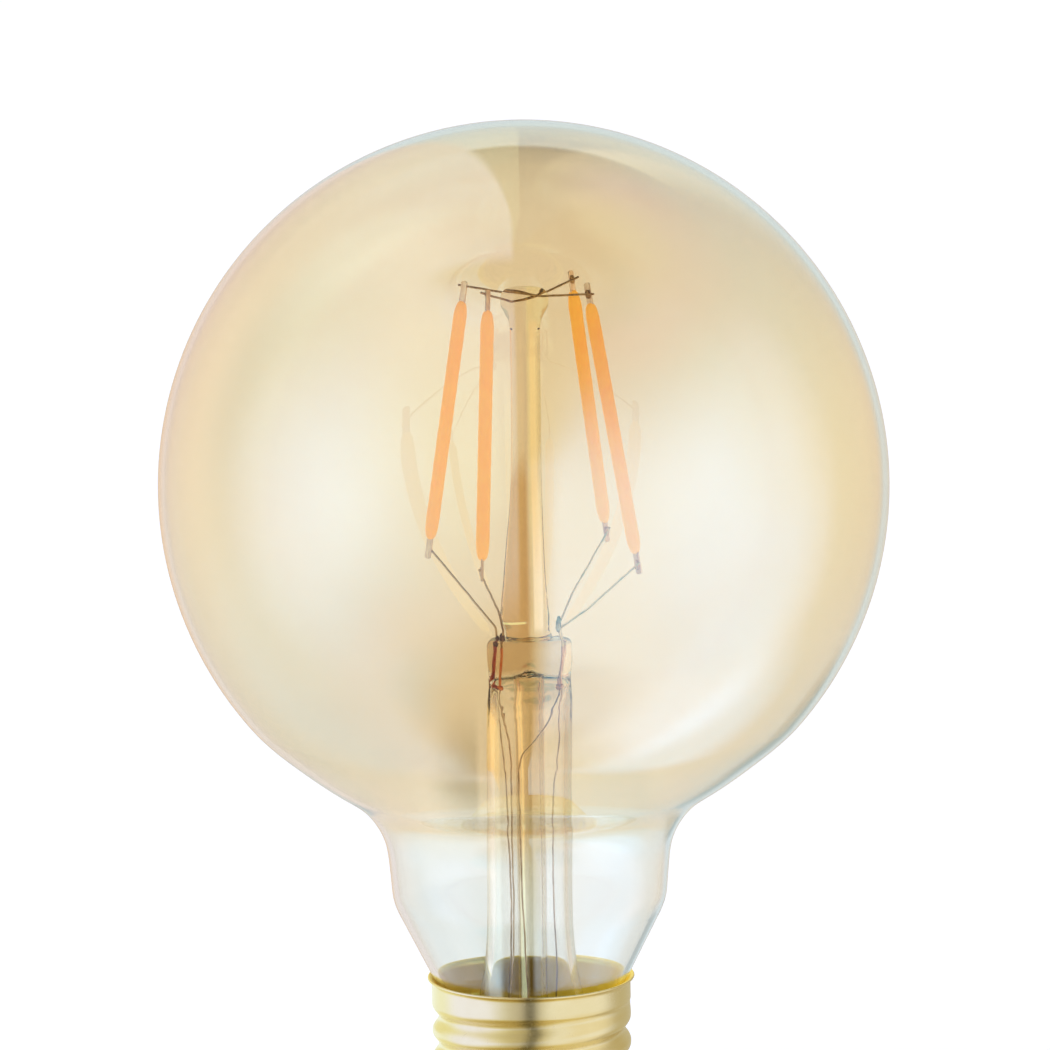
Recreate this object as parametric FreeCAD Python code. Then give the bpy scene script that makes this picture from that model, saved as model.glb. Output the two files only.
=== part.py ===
import FreeCAD, Part
import math
import os

# Globe lamp with four filament strips, amber globe and a screw cap. Millimetres, +Z towards the globe,
# origin on the lamp's axis at the face of the centre contact. Seen from -Y, +X is to the right.

V = FreeCAD.Vector
os.makedirs("parts", exist_ok=True)

# ---------------------------------------------------------------- driving dimensions
OVERALL = 138.0            # contact face to top of globe
GLOBE_R = 47.5             # outside radius of the globe
GLOBE_Z = OVERALL - GLOBE_R
WALL = 0.8                 # glass thickness of the blown envelope

CONE_R28 = 14.17           # outside radius of the neck's lower cone at z = 28
CONE_SLOPE = 0.508         # its radius gained per mm of height
SEAL_R = 11.6              # outside radius of the sealed end, down inside the cap
SEAL_Z = 13.6              # lowest glass
# outside of the neck, between the cone and the globe: (radius, height)
NECK = [(17.13, 34.0), (17.56, 35.0), (17.87, 36.0), (18.02, 37.0), (18.14, 38.5), (18.318, 40.5),
        (18.793, 43.5), (19.914, 46.0), (21.954, 48.5), (25.519, 51.0), (30.338, 54.5)]
JOIN_Z = 60.0              # where the neck curve runs into the sphere

# screw cap, 27 mm class: crests 26.1 across, 3.629 pitch, right hand
THREAD_R = 13.05           # crest radius, and the plain band's radius
THREAD_ROOT = 12.2
PITCH = 3.629
THREAD_Z0 = 18.27          # height of a groove on the +X side
SHEET = 0.3                # thickness of the brass
RIM_Z = 25.4               # top of the rolled rim
BAND_TOP = 24.55           # top of the plain cylindrical band
THREAD_TOP = 22.35         # foot of the plain band
THREAD_END = 7.6           # lower end of the thread
LIP_R = 10.35              # where the shell's bottom edge grips the insulator

# glass mount
MX = 0.42                  # the press and rod stand this far off the axis
TUBE_R = 5.55              # stem tube
TUBE_WALL = 1.0
PRESS_Z = (65.6, 70.3)     # flat part of the press
PRESS_HALF = (5.55, 2.35)  # half width, half thickness
ROD_R = 1.93
BUTTON_R = 3.1
ROD_TOP = 116.5
EXHAUST_R = 1.9
EXHAUST_BORE = 1.2

# filament strips: lower end and upper end of each coated body, and how far past them the wires cross the tabs
FIL_R = 0.88
FILAMENTS = {
    1: (V(-12.38, 8.1, 82.2), V(-7.67, 5.6, 114.0), 1.35, 2.0),
    2: (V(-5.44, -13.4, 83.1), V(-4.32, -6.2, 114.4), 1.5, 2.1),
    3: (V(10.60, 11.0, 83.55), V(6.80, 7.5, 114.93), 1.2, 1.5),
    4: (V(14.28, -10.0, 83.1), V(8.87, -6.6, 115.2), 1.5, 1.2),
}
TAB_W, TAB_T, TAB_OUT, TAB_IN = 0.9, 0.2, 2.7, 1.2
ARM_R = 0.14               # nickel support arms below
UPPER_R = 0.14             # the two wires through the button
SEAL_WIRE_R = 0.16         # copper-clad lengths sealed in the press
LEAD_R = 0.11              # thin leads down the stem


# ---------------------------------------------------------------- helpers
def line(a, b):
    return Part.LineSegment(V(*a), V(*b)).toShape()


def rz(r, z):
    return V(r, 0, z)


def seg(a, b):
    return Part.LineSegment(rz(*a), rz(*b)).toShape()


def arc(a, m, b):
    return Part.Arc(rz(*a), rz(*m), rz(*b)).toShape()


def curve(pts, t0=None, t1=None):
    bs = Part.BSplineCurve()
    pts = [rz(*p) for p in pts]
    if t0:
        bs.interpolate(Points=pts, InitialTangent=rz(*t0), FinalTangent=rz(*t1))
    else:
        bs.interpolate(Points=pts)
    return bs


def turned(edges, centre_x=0.0):
    """Solid of revolution about the vertical axis from a closed run of edges in the XZ plane."""
    face = Part.Face(Part.Wire(Part.__sortEdges__(edges)))
    s = face.revolve(V(0, 0, 0), V(0, 0, 1), 360)
    s = s if s.ShapeType == "Solid" else Part.Solid(s)
    if centre_x:
        s = s.copy()
        s.translate(V(centre_x, 0, 0))
    return s


def poly_turned(pts, centre=V(0, 0, 0)):
    e = [seg(pts[i], pts[(i + 1) % len(pts)]) for i in range(len(pts))]
    s = turned(e)
    s.translate(centre)
    return s


def route(points, bend):
    """Straight runs joined by tangent arcs."""
    pts = [V(*p) if not isinstance(p, FreeCAD.Vector) else p for p in points]
    edges, here = [], pts[0]
    for i in range(1, len(pts) - 1):
        p, a, b = pts[i], (pts[i - 1] - pts[i]), (pts[i + 1] - pts[i])
        la, lb = a.Length, b.Length
        a.normalize()
        b.normalize()
        half = a.getAngle(b) / 2
        if math.pi - 2 * half < 0.01:
            continue
        cut = min(bend / math.tan(half), 0.45 * la, 0.45 * lb)
        rad = cut * math.tan(half)
        bis = a + b
        bis.normalize()
        centre = p + bis * (rad / math.sin(half))
        start, end = p + a * cut, p + b * cut
        mid = centre - bis * rad
        edges.append(Part.LineSegment(here, start).toShape())
        edges.append(Part.Arc(start, mid, end).toShape())
        here = end
    edges.append(Part.LineSegment(here, pts[-1]).toShape())
    return Part.Wire(edges), pts


def round_wire(points, r, bend=1.2):
    path, pts = route(points, bend)
    d = pts[1] - pts[0]
    profile = Part.Wire(Part.Circle(pts[0], d, r).toShape())
    s = path.makePipeShell([profile], True, False)
    if s.ShapeType != "Solid":
        s = Part.Solid(s)
    if s.Volume < 0:
        s.reverse()
    return s


def ring_section(z, cx, a, b, n=2.0, count=36):
    """Closed smooth outline at height z: an ellipse at n = 2, towards a rounded oblong as n grows."""
    pts = []
    for i in range(count):
        t = 2 * math.pi * i / count
        c, s = math.cos(t), math.sin(t)
        k = (abs(c) ** n + abs(s) ** n) ** (-1.0 / n)
        pts.append(V(cx + a * c * k, b * s * k, z))
    bs = Part.BSplineCurve()
    bs.interpolate(Points=pts, PeriodicFlag=True)
    return Part.Wire(bs.toShape())


def box(cx, cy, z0, lx, ly, lz, edge=0.0):
    b = Part.makeBox(lx, ly, lz, V(cx - lx / 2, cy - ly / 2, z0))
    if edge:
        b = b.makeFillet(edge, [e for e in b.Edges])
    return b


def one(shape):
    solids = shape.Solids
    return max(solids, key=lambda s: s.Volume)


def save(name, shape):
    shape.exportStep("parts/%s.step" % name)
    print("%-26s solids %d  valid %s  volume %.2f" % (name, len(shape.Solids), shape.isValid(),
                                                     sum(s.Volume for s in shape.Solids)))
    return shape


# ---------------------------------------------------------------- glass envelope, blown in one piece
sphere_r = math.sqrt(GLOBE_R ** 2 - (JOIN_Z - GLOBE_Z) ** 2)
sphere_slope = (GLOBE_Z - JOIN_Z) / sphere_r


def cone_r(z):
    return CONE_R28 + CONE_SLOPE * (z - 28.0)


def envelope_profile(off):
    """Edges of the wall's outside (off = 0) or inside (off = wall), from the sealed end to the top."""
    n = math.hypot(1, CONE_SLOPE)
    knee0, knee1 = 22.1, 23.8
    foot = (SEAL_R - off, knee0)
    k1 = (cone_r(knee1) - off / n, knee1 + off * CONE_SLOPE / n)
    pts = [(r, z) for r, z in NECK]
    top = (sphere_r, JOIN_Z)
    neck = curve(pts + [top], (CONE_SLOPE, 1.0), (sphere_slope, 1.0))
    if off:
        inner = []
        for p in pts + [top]:
            u = neck.parameter(rz(*p))
            t = neck.tangent(u)[0]
            inner.append((p[0] - off * t.z, p[1] + off * t.x))
        neck = curve(inner, (CONE_SLOPE, 1.0), (sphere_slope, 1.0))
        pts = inner[:-1]
        top = inner[-1]
    knee = curve([foot, k1], (0, 1.0), (CONE_SLOPE, 1.0))
    r = GLOBE_R - off
    a0 = math.atan2(top[1] - GLOBE_Z, top[0])
    r = math.hypot(top[0], top[1] - GLOBE_Z)
    am = (a0 + math.pi / 2) / 2
    return [knee.toShape(), seg(k1, pts[0]), neck.toShape(),
            arc(top, (r * math.cos(am), GLOBE_Z + r * math.sin(am)), (0, GLOBE_Z + r))], foot, GLOBE_Z + r


out_edges, out_foot, out_top = envelope_profile(0.0)
in_edges, in_foot, in_top = envelope_profile(WALL)
IN_SEAL = SEAL_R - WALL
edges = out_edges + in_edges + [
    seg((0, out_top), (0, in_top)),
    seg((SEAL_R, SEAL_Z + 0.3), out_foot),
    arc((SEAL_R - 0.3, SEAL_Z), (SEAL_R - 0.3 + 0.3 * math.sin(math.pi / 4), SEAL_Z + 0.3 - 0.3 * math.cos(math.pi / 4)),
        (SEAL_R, SEAL_Z + 0.3)),
    seg((IN_SEAL, SEAL_Z), (SEAL_R - 0.3, SEAL_Z)),
    seg((IN_SEAL, SEAL_Z), in_foot),
]
envelope = turned(edges)
save("glass_envelope", envelope)


# ---------------------------------------------------------------- wires, laid out before the glass that grips them
def fil_axis(i):
    lo, hi, _, _ = FILAMENTS[i]
    d = hi - lo
    d.normalize()
    return lo, hi, d


def tab_points(i, lower_dir, upper_dir):
    """Where the wires cross the tabs: beside each tab's flat, touching it."""
    lo, hi, d = fil_axis(i)
    _, _, below, above = FILAMENTS[i]
    res = []
    for p, w, dist, s, r in ((lo, lower_dir, below, -1, ARM_R), (hi, upper_dir, above, 1, UPPER_R)):
        n = w.cross(d)
        n.normalize()
        res.append((p + d * (s * dist), n, p + d * (s * dist) + n * (r + TAB_T / 2 + 0.03)))
    return res


press_entry = {1: V(-3.78, 0.55, 69.2), 2: V(-3.13, -0.55, 69.2), 3: V(4.72, 0.6, 69.2), 4: V(4.62, -0.6, 69.2)}
knee = {1: V(-3.92, 0.6, 71.7), 2: V(-2.93, -0.75, 71.5), 3: V(4.35, 0.75, 71.9), 4: V(4.3, -0.7, 71.6)}
bow = {1: V(-7.4, 4.0, 75.35), 2: V(-3.55, -5.0, 74.9), 3: V(6.15, 5.0, 75.2), 4: V(8.2, -4.0, 74.95)}
button_in = {1: V(-1.75, 1.55, 115.52), 2: V(-1.25, -1.7, 114.85), 3: V(1.95, 2.1, 114.95), 4: V(2.5, -1.55, 115.5)}
cross = {"a": V(MX, 0.0, 115.55), "b": V(MX, 0.1, 114.85)}

contacts = {}
arms = {}
for i in (1, 2, 3, 4):
    lo, hi, d = fil_axis(i)
    low_dir = lo - bow[i]
    up_dir = hi - button_in[i]
    contacts[i] = tab_points(i, low_dir, up_dir)
    (lp, ln, lw), (up, un, uw) = contacts[i]
    w = lw - bow[i]
    w.normalize()
    arms[i] = round_wire([press_entry[i], press_entry[i] + V(0, 0, 0.8), knee[i], bow[i], lw, lw + w * 0.75], ARM_R, 1.1)

uppers = {}
for name, a, b in (("a", 1, 4), ("b", 2, 3)):
    wa, wb = contacts[a][1][2], contacts[b][1][2]
    ea, eb = wa - button_in[a], wb - button_in[b]
    ea.normalize()
    eb.normalize()
    uppers[name] = round_wire([wa + ea * 1.15, wa, button_in[a], cross[name], button_in[b], wb, wb + eb * 1.1],
                              UPPER_R, 1.0)

seal_foot = {1: V(-3.95, 0.5, 63.7), 2: V(-3.32, -0.5, 63.7), 3: V(4.0, 0.5, 63.7), 4: V(4.25, -0.55, 63.7)}
seals = {i: round_wire([press_entry[i], press_entry[i] - V(0, 0, 0.9), seal_foot[i] + V(0, 0, 0.9), seal_foot[i]],
                       SEAL_WIRE_R, 2.0) for i in (1, 2, 3, 4)}

# thin leads down the hollow stem to the board: slack, so they wander
LEAD_END = 10.45
lead_route = {
    1: [seal_foot[1], V(-3.75, 0.45, 61.5), V(-3.58, 0.7, 56.8), V(-3.22, 0.9, 53.6), V(-2.85, 0.7, 48.8), V(-2.62, 0.2, 43.4),
        V(-2.4, -0.1, 35.4), V(-2.62, 0.3, 28.5), V(-3.1, 1.2, 20.5), V(-2.9, 2.3, 15.2), V(-2.9, 2.3, LEAD_END)],
    2: [seal_foot[2], V(-3.3, -0.6, 61.9), V(-2.78, -1.0, 58.8), V(-2.3, -1.2, 56.6), V(-2.12, -1.2, 53.6), V(-2.2, -1.2, 49.6),
        V(-2.15, -1.2, 44.1), V(-2.05, -1.3, 37.0), V(-2.2, -1.6, 29.0), V(-2.8, -2.6, 20.5), V(-3.1, -3.2, 15.2), V(-3.1, -3.2, LEAD_END)],
    3: [seal_foot[3], V(3.85, 0.2, 62.4), V(3.2, -1.3, 60.6), V(2.3, -2.5, 59.0), V(0.95, -2.75, 57.3), V(-0.8, -2.6, 55.4),
        V(-1.2, -2.55, 53.2), V(-1.1, -2.6, 49.0), V(-1.0, -2.6, 39.4), V(-0.7, -2.7, 30.0), V(-0.2, -3.3, 20.5), V(0.4, -3.9, 15.2),
        V(0.4, -3.9, LEAD_END)],
    4: [seal_foot[4], V(4.22, -0.5, 61.6), V(4.15, -0.4, 56.7), V(3.82, -0.3, 54.4), V(3.9, -0.1, 52.4), V(3.42, 0.1, 50.4),
        V(3.12, 0.2, 46.0), V(3.1, 0.3, 40.6), V(3.25, 0.4, 32.6), V(3.5, 0.7, 26.5), V(3.3, 2.2, 19.5), V(2.6, 3.6, 15.2), V(2.6, 3.6, LEAD_END)],
}
leads = {i: round_wire([r[0], r[0] - V(0, 0, 0.7)] + r[1:], LEAD_R, 3.0) for i, r in lead_route.items()}

# ---------------------------------------------------------------- stem: flare tube and press, one piece of glass
trumpet = [(16.4, 0, 9.75), (18.4, 0, 8.55), (21.0, 0, 7.45), (24.0, 0, 6.65), (27.5, 0, 6.02), (31.5, 0, 5.68),
           (36.0, 0.02, 5.56), (42.0, 0.06, 5.55), (48.0, 0.12, 5.56), (54.0, 0.2, 5.6), (59.0, 0.3, 5.6), (61.5, 0.36, 5.58)]
outer_secs = [ring_section(z, 0, r, r) for z, r in ((13.0, 11.75), (14.6, 11.05))]
outer_secs += [ring_section(z, c, r, r) for z, c, r in trumpet]
outer_secs += [ring_section(63.2, 0.4, 5.45, 4.7, 2.1), ring_section(64.6, MX, 5.36, 3.3, 2.4), ring_section(66.0, MX, 5.4, 2.45, 2.9),
               ring_section(67.6, MX, 5.52, 2.35, 3.2), ring_section(69.2, MX, 5.55, 2.35, 3.2), ring_section(PRESS_Z[1], MX, 5.42, 2.15, 3.0)]
# its flared foot is sealed to the envelope's wall all round
stem_body = Part.makeLoft(outer_secs, True, False).common(Part.makeCylinder(IN_SEAL, 60.0, V(0, 0, SEAL_Z)))
bore_secs = [ring_section(z, 0, r, r) for z, r in ((13.0, 10.2), (14.6, 9.7))]
bore_secs += [ring_section(z, c, r - TUBE_WALL, r - TUBE_WALL) for z, c, r in trumpet]
bore_secs += [ring_section(63.0, 0.4, 4.62, 3.3, 2.2), ring_section(64.1, MX, 4.7, 1.9, 2.4), ring_section(64.9, MX, 4.3, 1.1, 2.4)]
bore = Part.makeLoft(bore_secs, True, False)
vent_x = MX - 0.1
vent = Part.makeCylinder(1.05, 2.2, V(vent_x, 0, 64.6)).fuse(Part.makeCylinder(1.05, 3.2, V(vent_x, 0, 66.3), V(0, -1, 0)))
socket = Part.makeCylinder(EXHAUST_R, 2.8, V(vent_x, 0, 62.5))
rod_socket = Part.makeCylinder(ROD_R, 1.3, V(MX, 0, PRESS_Z[1] - 1.2))
stem = stem_body.cut(bore).cut(vent).cut(socket).cut(rod_socket)
for i in (1, 2, 3, 4):
    stem = stem.cut(seals[i]).cut(arms[i])
save("stem_flare", one(stem))

# exhaust tube, fused under the press and tipped off inside the cap
ex = [seg((EXHAUST_BORE, 65.3), (EXHAUST_R, 65.3)), seg((EXHAUST_R, 65.3), (EXHAUST_R, 21.0)),
      curve([(EXHAUST_R, 21.0), (1.45, 19.3), (0.55, 18.1), (0.0, 17.7)], (0, -1), (-1, 0)).toShape(),
      seg((0, 17.7), (0, 19.6)),
      curve([(0, 19.6), (0.75, 20.2), (EXHAUST_BORE, 21.6)], (1, 0), (0, 1)).toShape(),
      seg((EXHAUST_BORE, 21.6), (EXHAUST_BORE, 65.3))]
save("exhaust_tube", turned(ex, vent_x))

# support rod with its foot and button: flattened foot, drawn rod, gathered button
rod_secs = [ring_section(PRESS_Z[1], MX, 3.05, 1.95, 2.3), ring_section(71.3, MX, 2.75, 2.0, 2.1), ring_section(72.4, MX, 2.95, 2.25),
            ring_section(73.1, MX, 3.1, 2.35), ring_section(74.4, MX, 2.95, 2.3), ring_section(78.0, MX, 2.5, 2.2),
            ring_section(83.0, MX, 2.15, 2.05), ring_section(88.0, MX, 1.97, 1.95), ring_section(92.0, MX, ROD_R, ROD_R),
            ring_section(100.0, MX, ROD_R, ROD_R), ring_section(111.6, MX, ROD_R, ROD_R), ring_section(112.9, MX, 2.05, 2.05),
            ring_section(113.5, MX, 2.75, 2.75), ring_section(114.2, MX, BUTTON_R, BUTTON_R), ring_section(115.2, MX, BUTTON_R, BUTTON_R),
            ring_section(116.0, MX, 2.75, 2.75), ring_section(116.4, MX, 1.9, 1.9), ring_section(ROD_TOP, MX, 0.9, 0.9)]
rod = Part.makeLoft(rod_secs, True, False)
rod = rod.fuse(Part.makeCylinder(ROD_R, 1.2, V(MX, 0, PRESS_Z[1] - 1.2)))
rod = rod.cut(uppers["a"]).cut(uppers["b"])
save("support_rod", one(rod))

for i in (1, 2, 3, 4):
    save("lower_arm_%d" % i, arms[i])
    save("seal_wire_%d" % i, seals[i])
    save("outer_lead_%d" % i, leads[i])
save("upper_wire_a", uppers["a"])
save("upper_wire_b", uppers["b"])

# ---------------------------------------------------------------- filament strips and their end tabs
for i in (1, 2, 3, 4):
    lo, hi, d = fil_axis(i)
    length = (hi - lo).Length
    e = [seg((0, 0), (0.3, 0)),
         curve([(0.3, 0), (0.56, 0.35), (0.8, 1.25), (FIL_R, 2.4)], (1, 0.15), (0, 1)).toShape(),
         seg((FIL_R, 2.4), (FIL_R, length - 2.4)),
         curve([(FIL_R, length - 2.4), (0.8, length - 1.25), (0.56, length - 0.35), (0.3, length)], (0, 1), (-1, 0.15)).toShape(),
         seg((0.3, length), (0, length)), seg((0, length), (0, 0))]
    body = turned(e)
    rot = FreeCAD.Rotation(V(0, 0, 1), d)
    body.Placement = FreeCAD.Placement(lo, rot)
    tabs = []
    for (p, n, w), end, s in ((contacts[i][0], lo, -1), (contacts[i][1], hi, 1)):
        side = n.cross(d)
        side.normalize()
        a = end - d * (s * TAB_IN)
        m = FreeCAD.Matrix(side.x, n.x, d.x, a.x, side.y, n.y, d.y, a.y, side.z, n.z, d.z, a.z, 0, 0, 0, 1)
        z0 = 0 if s > 0 else -(TAB_IN + TAB_OUT)
        t = Part.makeBox(TAB_W, TAB_T, TAB_IN + TAB_OUT, V(-TAB_W / 2, -TAB_T / 2, z0))
        tip = [ed for ed in t.Edges if abs(ed.Vertexes[0].Point.z - ed.Vertexes[-1].Point.z) < 1e-6
               and abs(ed.Vertexes[0].Point.x - ed.Vertexes[-1].Point.x) < 1e-6
               and abs(ed.Vertexes[0].Point.z - (z0 if s < 0 else TAB_IN + TAB_OUT)) < 1e-6]
        t = t.makeFillet(0.25, tip)
        t.Placement = FreeCAD.Placement(m)
        tabs.append(t)
    body = body.cut(tabs[0]).cut(tabs[1])
    save("led_filament_%d" % i, one(body))
    save("filament_tabs_%d" % i, Part.makeCompound(tabs))


# ---------------------------------------------------------------- screw cap shell, rolled from thin brass
def smooth(x):
    x = min(1.0, max(0.0, x))
    return x * x * (3 - 2 * x)


def thread_r(theta, z):
    """Outside radius of the rolled thread. It fades out under the plain band, and again at the lower end."""
    turn = theta / (2 * math.pi)
    phi = (z - THREAD_Z0) / PITCH - turn
    s = 0.5 - 0.5 * math.cos(2 * math.pi * phi)
    p = 1 - (1 - s) ** 1.3
    groove = THREAD_Z0 + PITCH * (turn + math.floor(phi + 0.5))
    crest = THREAD_Z0 + PITCH * (turn + math.floor(phi) + 0.5)
    a = smooth((22.3 - groove) / 1.9)
    b = smooth((crest - 8.1) / 1.9)
    m = 1 - a * (1 - p)
    return THREAD_ROOT + (THREAD_R - THREAD_ROOT) * m * (b if crest < 12 else 1.0)


AROUND, ROWS = 96, 60
SHRINK = (2 + math.cos(2 * math.pi / AROUND)) / 3


def thread_face(inset):
    z_lo, z_hi = THREAD_END, THREAD_TOP
    spans = ROWS - 3
    knots = [0.0] * 3 + [i / spans for i in range(spans + 1)] + [1.0] * 3
    grev = [(knots[j + 1] + knots[j + 2] + knots[j + 3]) / 3 for j in range(ROWS)]
    poles = []
    for i in range(AROUND):
        t = 2 * math.pi * i / AROUND
        row = []
        for j in range(ROWS):
            z = z_lo + (z_hi - z_lo) * grev[j]
            r = thread_r(t % (2 * math.pi), z)
            if j < 3:
                r = THREAD_ROOT
            if j > ROWS - 4:
                r = THREAD_R
            r = (r - inset) / SHRINK
            row.append(V(r * math.cos(t), r * math.sin(t), z))
        poles.append(row)
    s = Part.BSplineSurface()
    s.buildFromPolesMultsKnots(poles, [1] * (AROUND + 1), [4] + [1] * (spans - 1) + [4],
                               [i / AROUND for i in range(AROUND + 1)], [i / spans for i in range(spans + 1)], True, False, 3, 3)
    return s.toShape()


def band_faces(edges):
    return [e.revolve(V(0, 0, 0), V(0, 0, 1), 360) for e in edges]


# seam of the periodic thread surface and the turned faces both start on +X
t_out = thread_face(0.0)
t_in = thread_face(SHEET)
RI = THREAD_R - SHEET
lip_mid = 0.5 * SHEET
rim_edges = [
    seg((THREAD_R, THREAD_TOP), (THREAD_R, BAND_TOP)),
    curve([(THREAD_R, BAND_TOP), (13.16, 24.86), (13.42, 25.06)], (0, 1), (1, 0.55)).toShape(),
    curve([(13.42, 25.06), (13.58, 25.22), (13.42, RIM_Z)], (1, 0.55), (-1, -0.1)).toShape(),
    curve([(13.42, RIM_Z), (12.98, 25.2), (12.8, 24.86), (RI, BAND_TOP - 0.1)], (-1, -0.15), (0, -1)).toShape(),
    seg((RI, BAND_TOP - 0.1), (RI, THREAD_TOP)),
]
RR = THREAD_ROOT
foot_edges = [
    curve([(RR, THREAD_END), (12.02, 6.95), (11.45, 6.42), (10.75, 6.12), (LIP_R, 5.98)], (0, -1), (-1, -0.42)).toShape(),
    curve([(LIP_R, 5.98), (LIP_R - 0.1, 6.1), (LIP_R - 0.08, 6.26)], (-0.7, 0.2), (0.5, 0.7)).toShape(),
    curve([(LIP_R - 0.08, 6.26), (10.66, 6.42), (11.28, 6.68), (11.74, 7.1), (RR - SHEET, THREAD_END)], (1, 0.42), (0, 1)).toShape(),
]
faces = [t_out, t_in] + band_faces(rim_edges) + band_faces(foot_edges)
comp = Part.makeCompound(faces)
comp.sewShape(1e-4)
shell = comp if comp.ShapeType == "Shell" else comp.Shells[0]
cap = Part.Solid(shell)
if cap.Volume < 0:
    cap.reverse()
print("cap shell faces", len(faces), "closed", shell.isClosed(), "valid", cap.isValid())
save("cap_shell", cap)

# black glass insulator, cast into the foot of the shell: its edge follows the inside of the brass
ins = [
    curve([(LIP_R - 0.08, 6.26), (10.66, 6.42), (11.28, 6.68), (11.74, 7.1), (RR - SHEET, THREAD_END)], (1, 0.42), (0, 1)).toShape(),
    seg((RR - SHEET, THREAD_END), (11.5, 7.9)),
    curve([(11.5, 7.9), (9.0, 7.5), (5.0, 6.3), (3.0, 6.0)], (-1, -0.1), (-1, 0)).toShape(),
    seg((3.0, 6.0), (1.55, 6.0)), seg((1.55, 6.0), (1.55, 1.05)), seg((1.55, 1.05), (5.0, 1.05)),
    seg((5.0, 1.05), (5.35, 1.35)),
    curve([(5.35, 1.35), (6.5, 2.1), (8.6, 4.3), (9.75, 5.7), (LIP_R - 0.08, 6.26)], (1, 0.45), (0.9, 0.6)).toShape(),
]
insulator = turned(ins)
insulator = insulator.cut(cap)
save("cap_insulator", one(insulator))

# centre contact: dished plate on a short eyelet, and the pin pressed up into it
contact = turned([
    seg((1.05, 0.35), (2.0, 0.35)), seg((2.0, 0.35), (2.35, 0.0)), seg((2.35, 0.0), (4.3, 0.0)),
    curve([(4.3, 0.0), (4.85, 0.2), (5.1, 0.62)], (1, 0), (0, 1)).toShape(), seg((5.1, 0.62), (5.1, 1.05)),
    seg((5.1, 1.05), (1.55, 1.05)), seg((1.55, 1.05), (1.55, 6.35)), seg((1.55, 6.35), (1.05, 6.35)), seg((1.05, 6.35), (1.05, 0.35))])
contact = contact.cut(insulator)
save("centre_contact", one(contact))
pin = turned([
    seg((0, 0.06), (1.2, 0.06)), curve([(1.2, 0.06), (1.6, 0.14), (1.8, 0.35)], (1, 0), (0.1, 1)).toShape(),
    seg((1.8, 0.35), (1.05, 0.35)), seg((1.05, 0.35), (1.05, 3.4)), seg((1.05, 3.4), (0.75, 3.8)), seg((0.75, 3.8), (0, 3.8)), seg((0, 3.8), (0, 0.06))])
save("contact_pin", pin)

# cement between the sealed glass and the brass, low in the cap
cem = turned([seg((SEAL_R, 15.0), (12.1, 14.6)), seg((12.1, 14.6), (12.9, 14.9)), seg((12.9, 14.9), (12.9, 18.6)),
              seg((12.9, 18.6), (SEAL_R, 18.9)), seg((SEAL_R, 18.9), (SEAL_R, 15.0))])
outer_waste = cem.cut(cap)
cement = min((s for s in outer_waste.Solids if s.Volume > 20), key=lambda s: max(v.Point.x ** 2 + v.Point.y ** 2 for v in s.Vertexes))
save("cement_ring", cement)

# ---------------------------------------------------------------- driver board and its parts, inside the cap
BOARD = (10.4, 11.4)
board = Part.makeCylinder(9.3, BOARD[1] - BOARD[0], V(0, 0, BOARD[0]))
board = board.cut(box(9.3, 0, BOARD[0] - 1, 1.6, 3.0, 3))
holes = [(-2.9, 2.3), (-3.1, -3.2), (0.4, -3.9), (2.6, 3.6)]
for x, y in holes:
    board = board.cut(Part.makeCylinder(0.35, 3, V(x, y, BOARD[0] - 1)))
board = board.cut(Part.makeCylinder(0.45, 3, V(0, 0, BOARD[0] - 1)))
board = board.cut(Part.makeCylinder(0.45, 3, V(-7.9, 0, BOARD[0] - 1)))
save("driver_board", board)


def chip(cx, cy, top, lx, ly, h, legs, pitch):
    """Moulded body with bent legs along its two long sides, hanging under the board."""
    body = box(cx, cy, top - 0.1 - h, lx, ly, h, 0.12)
    s = body
    for k in range(legs):
        x = cx + (k - (legs - 1) / 2) * pitch
        for sgn in (-1, 1):
            y0 = cy + sgn * (ly / 2 + 0.3)
            s = s.fuse(box(x, y0, top - 0.1 - h / 2 - 0.1, 0.4, 0.8, 0.2))
            s = s.fuse(box(x, y0 + sgn * 0.3, top - 0.1 - h / 2 - 0.1, 0.4, 0.2, 0.2 + h / 2))
            s = s.fuse(box(x, y0 + sgn * 0.55, top - 0.2, 0.4, 0.6, 0.2))
    return one(s)


save("bridge_rectifier", chip(-4.7, 3.4, BOARD[0], 4.6, 2.6, 1.4, 2, 2.5))
save("driver_ic", chip(4.2, -3.6, BOARD[0], 4.9, 3.6, 1.4, 4, 1.27))
res = [box(4.2, 3.4, BOARD[0] - 0.55, 2.0, 1.25, 0.55, 0.08), box(4.2, 5.4, BOARD[0] - 0.55, 2.0, 1.25, 0.55, 0.08),
       box(-4.6, -4.0, BOARD[0] - 0.65, 3.0, 1.6, 0.65, 0.08)]
save("chip_resistors", Part.makeCompound(res))

EC = (5.3, 0.4)
can = turned([seg((0, BOARD[1]), (2.2, BOARD[1])), arc((2.2, BOARD[1]), (2.41, BOARD[1] + 0.09), (2.5, BOARD[1] + 0.3)),
              seg((2.5, BOARD[1] + 0.3), (2.5, BOARD[1] + 0.9)),
              arc((2.5, BOARD[1] + 0.9), (2.3, BOARD[1] + 1.2), (2.5, BOARD[1] + 1.5)),
              seg((2.5, BOARD[1] + 1.5), (2.5, BOARD[1] + 5.4)), arc((2.5, BOARD[1] + 5.4), (2.41, BOARD[1] + 5.61), (2.2, BOARD[1] + 5.7)),
              seg((2.2, BOARD[1] + 5.7), (0, BOARD[1] + 5.7)), seg((0, BOARD[1] + 5.7), (0, BOARD[1]))])
can.translate(V(EC[0], EC[1], 0))
save("electrolytic_capacitor", can)

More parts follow.
